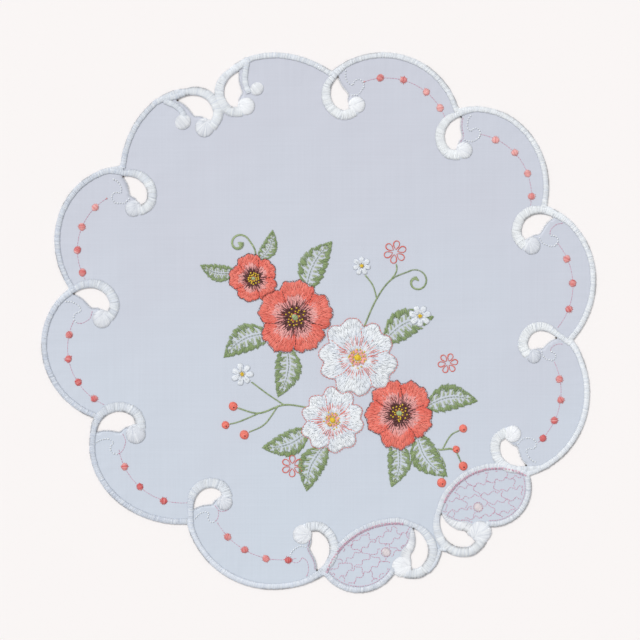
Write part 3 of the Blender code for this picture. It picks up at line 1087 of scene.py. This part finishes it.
# The two leaves, filled with wavy courses of bricks.
LeafFill = namedtuple("LeafFill", "bearing ringX ringY")
leafFills = (
    LeafFill(79.0, 113.8, -133.6),
    LeafFill(55.0, 47.5, -166.0),
)
leafWork = {
    "course": 7.7,  # from one wavy line to the next
    "wave": 1.15,
    "waveLength": 6.7,
    "brick": 14.0,
    "step": 4.6,  # how far the bricks shift from course to course
    "sway": 1.5,  # how far the joints between bricks wander
    "lean": 2.0,
    "span": 48.0,  # half of what the courses cover
    "clearOfSatin": 3.6,
    "clearOfFront": 0.9,
    "ring": 3.5,
}
fillStitch = {"length": 1.5, "gap": 0.3, "rise": 0.26, "stray": 0.07}
pinkSewing = Spool("leafLines", "link", 0.2)
onSatin = {"length": 2.3, "gap": 0.15, "rise": 1.15, "stray": 0.16}
edgeSewing = Spool("leafEdgeLines", "link", 0.2)
ringSewing = Spool("leafRings", "beige")


def leafLoop(curl, number):
    # the cloth of a leaf: its inner edge, the front of its hole, its ball and its outer edge
    outer = scallopArc(number)
    inner = leafFeed(curl)
    if apart(outer[-1], inner[0]) > apart(outer[0], inner[0]):
        outer = outer[::-1]
    return np.vstack((inner, holeFront(curl)[::-1], [onCurl(curl, ballAt)], outer))


def farFrom(points, line, distance):
    return apart(points[:, None], spaced(line, 1.0)).min(axis=1) > distance


def leafFree(points, curl, number):
    free = inside(points, leafLoop(curl, number))
    free &= farFrom(points, leafFeed(curl), leafWork["clearOfSatin"])
    free &= farFrom(points, scallopArc(number, border["edgeWidth"] / 2), leafWork["clearOfSatin"])
    front, width = frontRow(curl)
    away = apart(points[:, None], front)
    free &= away.min(axis=1) > width[away.argmin(axis=1)] / 2 + leafWork["clearOfFront"]
    return free & offBall(points, curl, 1.0)


def sewRuns(spool, line, free, sewing, shade=0.5):
    # a running stitch along each free run of a line
    for first, last in runsOf(free, 3):
        runningStitch(spool, line[first:last], sewing, shade)


def brickLines(fill, centre):
    # the wavy courses and the joints between them, over a square round the leaf
    ahead = at(fill.bearing, 1.0)
    side = turned(ahead)
    along = np.arange(-leafWork["span"], leafWork["span"], 0.4)
    turn = 2 * np.pi / leafWork["waveLength"]
    lines = []
    for row in range(-5, 6):
        wave = np.sin(turn * along + 2.1 * row) + 0.3 * np.sin(1.9 * turn * along + row)
        height = row * leafWork["course"] + leafWork["wave"] * wave
        lines.append(centre + along[:, None] * ahead + height[:, None] * side)
        for k in range(-3, 4):
            start = k * leafWork["brick"] - row * leafWork["step"]
            t = np.linspace(0, 1, 22)
            sway = leafWork["sway"] * np.sin(2 * np.pi * t + 1.3 * k + row)
            sway = start + sway - leafWork["lean"] * t
            height = (row + t) * leafWork["course"]
            lines.append(centre + sway[:, None] * ahead + height[:, None] * side)
    return lines


def sewLeaf(curl, number, fill):
    loop = leafLoop(curl, number)
    ring = np.array((fill.ringX, fill.ringY))
    lining = frontLining(curl, 0.5)[:-2]
    sewRuns(pinkSewing, lining, offBall(lining, curl, 0.6), fillStitch, 0.2)
    ringSewing.sew(ballStitches(ring, leafWork["ring"] - 0.3, 0.5, 40))
    runningStitch(pinkSewing, closed(ringOf(ring, leafWork["ring"], 24)), fillStitch, 0.2)
    for line in brickLines(fill, centreOf(loop)):
        free = leafFree(line, curl, number) & (apart(line, ring) > leafWork["ring"] + 0.6)
        sewRuns(pinkSewing, line, free, fillStitch, 0.45)
    inner, outer = leafFeed(curl), scallopArc(number, border["edgeWidth"] / 2)
    for spool, edge, inset, sewing, shade in (
        (edgeSewing, inner, 1.3, onSatin, 0.85),
        (edgeSewing, inner, 1.9, onSatin, 0.85),
        (pinkSewing, inner, 2.7, fillStitch, 0.5),
        (pinkSewing, outer, 2.7, fillStitch, 0.5),
    ):
        for side in (-1, 1):
            line = spaced(beside(edge, side * inset), 1.0)
            free = inside(line, loop) & farFrom(line, holeFront(curl), 1.2) & offBall(line, curl)
            sewRuns(spool, line, free, sewing, shade)


for curl, number, fill in zip(leafCurls, leafEdges, leafFills):
    sewLeaf(curl, number, fill)
for spool in (pinkSewing, edgeSewing, ringSewing):
    spool.piece()


def doubleAreas(places, corners):
    # twice each triangle's flat area, negative where it runs clockwise
    a, b, c = (places[corners[:, k], :2] for k in range(3))
    return (b[:, 0] - a[:, 0]) * (c[:, 1] - a[:, 1]) - (b[:, 1] - a[:, 1]) * (c[:, 0] - a[:, 0])


def within(points, loops):
    # which points lie inside the first loop and outside the others
    kept = inside(points, loops[0])
    for loop in loops[1:]:
        kept &= ~inside(points, loop)
    return kept


def triangulated(points, loops):
    # triangles over the points, inside the first loop and outside the others
    edges = []
    start = 0
    for loop in loops:
        edges += [(start + i, start + (i + 1) % len(loop)) for i in range(len(loop))]
        start += len(loop)
    found = delaunay_2d_cdt([Vector(p) for p in points], edges, [], 0, 1e-6)
    places = np.array([tuple(p) for p in found[0]])
    corners = np.array([tuple(face) for face in found[2]])
    corners = corners[within(places[corners].mean(axis=1), loops)]
    over = doubleAreas(places, corners) < 0
    corners[over] = corners[over][:, ::-1]
    return places, corners


def gridIn(loops, step, clear):
    # an even grid of points inside the first loop and outside the others
    low, high = loops[0].min(axis=0), loops[0].max(axis=0)
    rows = np.arange(low[1], high[1], step * math.sqrt(3) / 2)
    gridX, gridY = np.meshgrid(np.arange(low[0], high[0], step), rows)
    gridX = gridX + (np.arange(len(rows)) % 2)[:, None] * step / 2
    grid = np.column_stack((gridX.ravel(), gridY.ravel()))
    grid = grid[within(grid, loops)]
    tree = treeOf(np.vstack(loops))
    return np.array([(x, y) for x, y in grid if tree.find((x, y, 0.0))[2] > clear]).reshape(-1, 2)


def slab(loops, step, clear, above, below):
    # a closed flat body on the cloth's lie, from above its upper face to below it
    flat, upper = triangulated(np.vstack((*loops, gridIn(loops, step, clear))), loops)
    tops = lie(flat)
    under = np.maximum(tops - below, 0.012)
    places = np.vstack((np.column_stack((flat, tops + above)), np.column_stack((flat, under))))
    walls = []
    start = 0
    for i, loop in enumerate(loops):
        ring = start + np.arange(len(loop))
        after = np.roll(ring, -1)
        start += len(loop)
        if isClockwise(loop) == (i == 0):
            ring, after = after, ring
        low = ring + len(flat)
        walls += [np.column_stack((after, ring, low)), np.column_stack((after, low, after + len(flat)))]
    return places, np.vstack((upper, upper[:, ::-1] + len(flat), *walls)), 2 * len(upper)


# The spray of flowers in the middle: our own arrangement, nearest flowers first.
sprayKeys = ("coral", "pink", "brown", "white", "green", "yellow")
spraySpools = {key: Spool("spray" + key.title(), key) for key in sprayKeys}
fineSpools = {key: Spool("fine" + key.title(), key, 0.22) for key in ("brown", "coral", "green")}

# Each kind: petals, how deep the notch between them and at their tips, how frilled, and its bands of
# colour from the middle out, with the spool, where the band starts and ends and its shade.
Kind = namedtuple("Kind", "petals between tip frill bands")
kinds = {
    "poppy": Kind(5, 0.17, 0.0, 0.030, (
        ("brown", 0.08, 0.38, 0.5), ("pink", 0.31, 0.60, 0.6), ("coral", 0.52, 1.0, 0.5),
    )),
    "rose": Kind(5, 0.24, 0.13, 0.012, (
        ("pink", 0.10, 0.22, 0.8), ("white", 0.19, 0.64, 0.5), ("white", 0.56, 1.0, 0.75),
    )),
    "star": Kind(7, 0.62, 0.0, 0.0, (("white", 0.18, 1.0, 0.6),)),
    "loops": Kind(6, 0.3, 0.0, 0.0, ()),
}
Flower = namedtuple("Flower", "kind x y radius turn")
flowers = (
    Flower("rose", 27.0, -26.0, 29.0, 10.0),
    Flower("poppy", -18.0, 3.0, 27.0, 40.0),
    Flower("poppy", 57.0, -66.0, 25.0, 5.0),
    Flower("rose", 9.0, -71.0, 24.0, 50.0),
    Flower("poppy", -48.0, 31.0, 17.5, 20.0),
    Flower("star", 72.0, 4.0, 8.4, 0.0),
    Flower("star", -56.0, -38.0, 8.4, 12.0),
    Flower("star", 30.0, 40.0, 7.0, 25.0),
    Flower("loops", 54.0, 50.0, 8.4, 10.0),
    Flower("loops", -20.0, -104.0, 8.0, 0.0),
    Flower("loops", 92.0, -30.0, 7.4, 20.0),
)
Leaf = namedtuple("Leaf", "flower bearing lean length width bend")
leaves = (
    Leaf(0, 58.0, 6.0, 40.0, 22.0, 5.0),
    Leaf(1, 22.0, 6.0, 40.0, 21.0, 4.0),
    Leaf(1, 238.0, 4.0, 38.0, 21.0, -5.0),
    Leaf(1, 196.0, -6.0, 38.0, 20.0, 4.0),
    Leaf(2, 76.0, 8.0, 38.0, 20.0, 5.0),
    Leaf(2, 140.0, 4.0, 38.0, 21.0, -5.0),
    Leaf(2, 186.0, 0.0, 34.0, 18.0, 4.0),
    Leaf(3, 196.0, 6.0, 36.0, 20.0, -4.0),
    Leaf(3, 246.0, 4.0, 36.0, 19.0, 4.0),
    Leaf(4, 288.0, -6.0, 26.0, 13.0, 3.0),
    Leaf(4, 18.0, 6.0, 24.0, 12.0, -3.0),
)
Stem = namedtuple("Stem", "width points curl", defaults=(None,))
stems = (
    Stem(1.3, ((30.0, -8.0), (40.0, 15.0), (51.0, 30.0), (66.0, 37.0)), (9.0, 1)),
    Stem(1.0, ((41.0, 16.0), (38.0, 26.0), (32.0, 34.0))),
    Stem(1.0, ((51.0, 30.0), (55.0, 36.0), (55.0, 42.0))),
    Stem(1.0, ((54.0, -12.0), (64.0, -4.0), (70.0, 1.0))),
    Stem(1.3, ((-46.0, 44.0), (-47.0, 52.0), (-52.0, 60.0)), (7.5, -1)),
    Stem(1.3, ((-8.0, -62.0), (-26.0, -60.0), (-44.0, -66.0), (-60.0, -62.0))),
    Stem(1.0, ((-30.0, -60.5), (-40.0, -74.0), (-52.0, -80.0))),
    Stem(1.0, ((-26.0, -60.0), (-38.0, -52.0), (-50.0, -43.0))),
    Stem(1.0, ((-44.0, -66.0), (-58.0, -72.0), (-66.0, -74.0))),
    Stem(1.3, ((72.0, -84.0), (84.0, -92.0), (96.0, -92.0), (102.0, -102.0))),
    Stem(1.0, ((84.0, -92.0), (90.0, -104.0), (88.0, -114.0))),
    Stem(1.0, ((88.0, -92.0), (94.0, -82.0), (101.0, -78.0))),
)
berries = (
    (-62.5, -61.0, 3.2), (-54.5, -81.5, 3.3), (-68.0, -74.5, 2.8), (103.0, -104.0, 3.2),
    (87.5, -116.0, 3.3), (103.0, -77.0, 2.9), (98.0, -92.0, 2.6),
)
berryWork = {
    "rise": 1.4,
    "bearing": 60,
    "points": 7,
    "knotSize": 1.3,
    "knotRise": 1.75,
    "knotAt": (0.5, -0.8),
}
bloomWork = {
    "pitch": 0.46,
    "ragged": 0.055,
    "longest": 7.0,
    "room": (0.5, 0.25, 0.1),
    "cutRagged": 0.14,
    "tipRagged": 0.012,
    "sideways": 0.004,
    "rise": 0.46,
    "swell": 0.34,  # how much fuller the middle of a petal is
    "lighter": 0.4,  # and how much lighter its stitches are painted, a painted light there with painted shade towards the lines between petals
}
outlineStitch = {"length": 2.1, "gap": 0.1, "rise": 0.8, "stray": 0.06}
under = {"white": [], "coral": [], "green": []}


def middleOf(flower):
    return np.array((flower.x, flower.y))


def outlineSpool(flower):
    return fineSpools["brown" if flower.kind == "poppy" else "coral"]


def petalTurns(flower):
    # the angles at which a flower's petals start
    return math.radians(flower.turn) + turns(kinds[flower.kind].petals)


def petalReach(flower, angle):
    # how far a flower reaches at each angle, and where across its petal that is, -1 to 1
    kind = kinds[flower.kind]
    share = (angle - math.radians(flower.turn)) * kind.petals / (2 * np.pi)
    across = 2 * (share % 1.0) - 1
    petal = np.floor(share) % kind.petals
    reach = 1 - kind.between * np.abs(across) ** 3.4 - kind.tip * np.exp(-((across / 0.24) ** 2))
    frill = np.sin(9 * across + 1.7 * petal) + 0.6 * np.sin(19 * across + 2.9 * petal + flower.x)
    size = 1 + 0.035 * np.sin(2.3 * petal + flower.y)
    return flower.radius * size * (reach + kind.frill * frill), across


def around(flower, angle, reach):
    way = np.stack((np.sin(angle), np.cos(angle)), axis=-1)
    return middleOf(flower) + way * reach[..., None]


def flowerLoop(flower, share=1.0):
    return around(flower, turns(120), petalReach(flower, turns(120))[0] * share)


def layUnder(colour, loop, across, above=0.14):
    # a flat packing under a motif, which also shows as thread on the back, its threads lying across a way
    body, corners, _ = slab([loop], 3.0, 1.4, above, cloth["thickness"] + 0.07)
    under[colour].append((body, corners, body[:, :2] @ across))


def bloom(flower):
    # fans of long and short stitches, each ray starting only where there is room for it
    kind = kinds[flower.kind]
    count = inFours(2 * np.pi * flower.radius, bloomWork["pitch"])
    angle = 2 * np.pi * (np.arange(count) + 0.5) / count
    reach, across = petalReach(flower, angle)
    room = roomFor(count, *bloomWork["room"]) * (1 + 0.1 * chance.randn(count))
    plump = np.cos(across * np.pi / 2)
    for spool, start, end, shade in kind.bands:
        drift = bloomWork["ragged"] * chance.randn(2, count) + 0.05 * plump - 0.02
        begin = np.maximum(room, start + drift[0] * (start > 0.2))
        finish = np.where(end < 1, end + drift[1], 1 + bloomWork["tipRagged"] * chance.randn(count))
        parts = 2 if (end - start) * flower.radius > bloomWork["longest"] else 1
        cut = begin + (finish - begin) * (0.5 + bloomWork["cutRagged"] * chance.randn(count))
        pieces = ((begin, cut + 0.02), (cut - 0.02, finish)) if parts == 2 else ((begin, finish),)
        for low, high in pieces:
            kept = high - low > 0.06
            turn = angle + bloomWork["sideways"] * chance.randn(count)
            fuller = plump * np.sin(np.pi * ((low + high) / 2).clip(0, 1))
            rise = bloomWork["rise"] + bloomWork["swell"] * fuller
            # painted light and shade: each petal's stitches lighter down its fuller middle, darker towards
            # the lines between the petals
            tone = shade - 0.28 + bloomWork["lighter"] * plump
            starts = around(flower, turn, reach * low)
            ends = around(flower, turn, reach * high)
            sewStraight(spraySpools[spool], starts[kept], ends[kept], rise[kept], tone[kept], 0.12)


def petalEdges(flower):
    # the lines between the petals, from the heart out
    share = np.linspace(0.3, 0.99, 12)
    for petal, angle in enumerate(petalTurns(flower)):
        reach = petalReach(flower, np.full(12, angle + 0.01))[0]
        yield around(flower, angle + 0.10 * np.sin(share * 4.0 + petal), reach * share)


def petalLoops(flower):
    # each petal as a loop of its own
    turn = np.linspace(0, 2 * np.pi, 25)
    for angle in petalTurns(flower):
        yield around(flower, angle + 0.42 * np.sin(turn), flower.radius * (0.6 - 0.4 * np.cos(turn)))


heartRings = {"star": ((1, 0.0), (5, 0.12)), "loops": ()}  # how many knots, at which shares of the radius
fullRings = ((9, 0.13), (14, 0.22))
heartWork = {
    "knob": 0.09,  # lengths along the petals, in shares of the flower's radius
    "knobRise": 1.3,
    "rays": 45,
    "rayStart": 0.25,
    "rayEnd": 0.5,
    "rayLonger": 0.16,
    "rayRise": 0.82,
    "knotSize": 1.5,
    "knotRise": 1.15,
}


def heart(flower):
    # the stamens and the knob they stand round
    size = flower.radius
    for number, share in heartRings.get(flower.kind, fullRings):
        turn = turns(number) + 0.1 * chance.randn(number)
        reach = size * share * (1 + 0.12 * chance.randn(number))
        places = around(flower, turn, reach)
        knots(spraySpools["yellow"], places, heartWork["knotSize"], heartWork["knotRise"])
    if flower.kind in ("poppy", "rose"):
        knob = spraySpools["green" if flower.kind == "poppy" else "yellow"]
        radius = size * heartWork["knob"]
        knob.sew(ballStitches(middleOf(flower), radius, heartWork["knobRise"], flower.turn), shade=0.6)
        count = heartWork["rays"]
        turn = turns(count) + 0.03 * chance.randn(count)
        far = size * (heartWork["rayEnd"] + heartWork["rayLonger"] * chance.rand(count))
        starts = around(flower, turn, np.full(count, size * heartWork["rayStart"]))
        sewStraight(outlineSpool(flower), starts, around(flower, turn, far), heartWork["rayRise"], 0.6)


def sewFlower(flower):
    heart(flower)
    if flower.kind == "loops":
        for loop in petalLoops(flower):
            rope(fineSpools["coral"], spaced(loop, 0.5), 0.35, 0.1)
        return
    loop = flowerLoop(flower)
    if flower.kind != "star":
        for edge in (closed(loop), *petalEdges(flower)):
            runningStitch(outlineSpool(flower), edge, outlineStitch, 0.5)
    bloom(flower)
    layUnder("coral" if flower.kind == "poppy" else "white", flowerLoop(flower, 0.97), at(flower.turn, 1.0))
    taken.append(loop)


leafShape = {
    "start": 0.78,  # where a leaf leaves its flower, in shares of the radius
    "teeth": 8,
    "toothDepth": 0.15,
    "veins": 6,
    "rimRise": 0.5,
    "innerRise": 0.42,
    "sunk": 0.2,  # how far the packing stays under the cloth's face
}


def leafEdgeLines(leaf):
    # a leaf's midrib and its two toothed edges
    flower = flowers[leaf.flower]
    base = middleOf(flower) + at(leaf.bearing, flower.radius * leafShape["start"])
    ahead = at(leaf.bearing + leaf.lean, 1.0)
    side = turned(ahead)
    t = np.linspace(0, 1, 61)[:, None]
    rib = base + ahead * leaf.length * t + side * leaf.bend * np.sin(np.pi * t)
    half = leaf.width / 2 * np.sin(np.pi * t**0.8) ** 0.85
    teeth = 1 + leafShape["toothDepth"] * ((t * leafShape["teeth"]) % 1.0 - 0.5)
    return rib, rib + side * half * teeth, rib - side * half * teeth


def sewLeafShape(leaf):
    # a dense toothed rim, thinner stitches towards the midrib and bare cloth along the veins
    green = spraySpools["green"]
    rib, left, right = leafEdgeLines(leaf)
    size = passed(rib)[-1]
    count = int(size / bloomWork["pitch"])
    starts = pointsAt(rib, np.linspace(0.02, 0.86, count) * size)
    for edge in (left, right):
        share = np.linspace(0.05, 1.0, count)
        ends = np.stack([np.interp(share, np.linspace(0, 1, len(edge)), way) for way in edge.T], axis=1)
        ends = ends + 0.15 * chance.randn(count, 2)
        way = ends - starts
        vein = np.abs((share * leafShape["veins"] + 0.2) % 1.0 - 0.5) * 2
        split = (0.62 - 0.34 * vein[:, None] ** 2 + 0.07 * chance.randn(count, 1)).clip(0.15, 0.85)
        inward, outward = starts + way * 0.14, starts + way * split
        sewStraight(green, outward, ends, leafShape["rimRise"], 0.2, 0.12)
        pale = (np.arange(count) % 2 == 0) & (vein < 0.8) & (vein > 0.25)
        sewStraight(green, inward[pale], outward[pale], leafShape["innerRise"], 0.85, 0.1)
    runningStitch(fineSpools["green"], rib[2:-2], outlineStitch, 0.1)
    loop = np.vstack((left, right[-2:0:-1]))
    across = turned(at(leaf.bearing + leaf.lean + 40, 1.0))
    layUnder("green", rib[30] + (loop - rib[30]) * 0.97, across, -leafShape["sunk"])
    taken.append(loop)


def stemLine(stem):
    # a stem's line, wound up at its end where it is a tendril: the curl's radius and side, 1 right
    line = curved(stem.points)
    if stem.curl:
        radius, hand = stem.curl
        ahead = line[-1] - line[-2]
        start = math.atan2(ahead[1], ahead[0]) + hand * np.pi / 2
        turn = np.linspace(0, 1.3 * 2 * np.pi, 60)[1:]
        shrunk = radius * (1 - 0.72 * (turn / turn[-1]) ** 0.8)
        hub = line[-1] - radius * towards(start)
        line = np.vstack((line, hub + towards(start - hand * turn) * shrunk[:, None]))
    return spaced(line, 0.8)


for flower in flowers:
    sewFlower(flower)
for x, y, size in berries:
    place = np.array((x, y))
    ball = ballStitches(place, size, berryWork["rise"], berryWork["bearing"], berryWork["points"])
    spraySpools["coral"].sew(ball, shade=0.5)
    tip = place[None] + berryWork["knotAt"]
    knots(spraySpools["brown"], tip, berryWork["knotSize"], berryWork["knotRise"])
    ring = ringOf(place, size, 18)
    layUnder("coral", ring, at(90, 1.0))
    taken.append(ring)
for leaf in leaves:
    sewLeafShape(leaf)
for stem in stems:
    rope(spraySpools["green"], stemLine(stem), stem.width, 0.4)
for centre, size in beadPlaces:
    layUnder("coral", ringOf(centre, size - 0.3, 12), at(90, 1.0))
for spool in (*spraySpools.values(), *fineSpools.values()):
    spool.piece()
for colour, parts in under.items():
    if parts:
        addPacked("under" + colour.title(), colour, parts)

weave = {
    "pitch": 0.42,
    "depth": 0.05,
}


def clothFinish():
    # smooth close weave, faintly lilac above and bluer below, with slubs along warp and weft
    material, shader, nodes = newFinish("clothFinish", 0.5, 0.2)
    place = nodes.make("TexCoord", {}, {}, out="Object")
    x = nodes.make("SeparateXYZ", {}, {0: place})
    y = nodes.make("SeparateXYZ", {}, {0: place}, out=1)
    cloud = nodes.make("TexNoise", {}, {"Vector": place, "Scale": 9.0, "Detail": 2.0})
    fall = (y * 2.4 + cloud * 0.9).clipped(-0.2, 1.0)
    colour = nodes.mixed(fall, linear(208, 217, 229), linear(206, 209, 221))
    warp = nodes.make("Mapping", {}, {"Vector": place, "Scale": (900.0, 14.0, 1.0)})
    weft = nodes.make("Mapping", {}, {"Vector": place, "Scale": (14.0, 900.0, 1.0)})
    slubs = nodes.make("TexNoise", {}, {"Vector": warp, "Scale": 1.0, "Detail": 1.0})
    bars = nodes.make("TexNoise", {}, {"Vector": weft, "Scale": 1.0, "Detail": 1.0})
    streak = (slubs + bars - 1.0) * 0.16 + 0.5
    colour = nodes.mixed(streak.clipped(0.2, 0.8), colour * 0.93, colour * 1.05)
    turn = 2 * math.pi / (weave["pitch"] * mm)
    warpOver = (x * turn).wave() * (y * turn * 0.5).wave()
    weftOver = (y * turn).wave() * (x * turn * 0.5 + 1.57).wave()
    height = warpOver + weftOver + streak
    bump = nodes.make("Bump", {}, {"Strength": 0.35, "Distance": weave["depth"] * mm, "Height": height})
    nodes.plug(shader.inputs["Base Color"], colour)
    nodes.plug(shader.inputs["Normal"], bump)
    return material


clothLoops = [moved(rim, -cloth["rawEdge"])] + [moved(hole, cloth["rawEdge"]) for hole in holes]
clothBody = slab(clothLoops, cloth["grid"], cloth["clearOfEdge"], 0.0, cloth["thickness"])
clothPlaces, clothCorners, flatCount = clothBody
smooth = np.arange(len(clothCorners)) < flatCount
groundCloth = addPiece("groundCloth", clothPlaces, clothCorners, "cloth", clothFinish(), smooth)
flatArea = doubleAreas(clothPlaces, clothCorners[: flatCount // 2]).sum() / 2
flatSize = rim.max(axis=0) - rim.min(axis=0)
print(f"cloth: {flatSize[0]:.1f} x {flatSize[1]:.1f} mm, {flatArea / 100:.0f} square cm")

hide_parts("doily_cloth")
flat, area = tuple(flatSize * mm), flatArea * mm * mm

studio = {
    "floorColour": linear(252, 248, 247),
    "floorSize": 8.0,
    "skyLight": 0.55,
    "lampSpread": 28.0,  # degrees across, so that shadows stay soft
    "lampFrom": (-0.7, 0.8, 1.3),
    "lampPower": 1.75,
}
floorMesh = bpy.data.meshes.new("floor")
far = studio["floorSize"] / 2
floorMesh.from_pydata([(-far, -far, 0), (far, -far, 0), (far, far, 0), (-far, far, 0)], [], [(0, 1, 2, 3)])
floor = bpy.data.objects.new("floor", floorMesh)
bpy.context.scene.collection.objects.link(floor)
floorFinish, floorShader, _ = newFinish("floorFinish", 0.9)
floorShader.inputs["Base Color"].default_value = studio["floorColour"]
floorMesh.materials.append(floorFinish)

world = bpy.data.worlds.new("studio")
bpy.context.scene.world = world
world.use_nodes = True
world.node_tree.nodes["Background"].inputs["Color"].default_value = (1.0, 1.0, 1.0, 1.0)
world.node_tree.nodes["Background"].inputs["Strength"].default_value = studio["skyLight"]

lampData = bpy.data.lights.new("softLamp", "SUN")
lampData.angle = math.radians(studio["lampSpread"])
lampData.energy = studio["lampPower"]
lamp = bpy.data.objects.new("softLamp", lampData)
lamp.rotation_mode = "QUATERNION"
lamp.rotation_quaternion = (-Vector(studio["lampFrom"])).to_track_quat("-Z", "Y")
bpy.context.scene.collection.objects.link(lamp)

view = {
    "frameWidth": 460.8,  # what the picture's 640 pixels span on the cloth
    "lens": 100.0,
    "centre": (0.0, 1.08),
}
cameraData = bpy.data.cameras.new("camera")
cameraData.lens = view["lens"]
cameraData.sensor_width = 36.0
camera = bpy.data.objects.new("camera", cameraData)
height = view["frameWidth"] * mm * view["lens"] / cameraData.sensor_width
camera.location = (*((np.array(view["centre"]) - middle) * mm), height)
bpy.context.scene.collection.objects.link(camera)
bpy.context.scene.camera = camera
bpy.context.scene.view_settings.view_transform = "Standard"
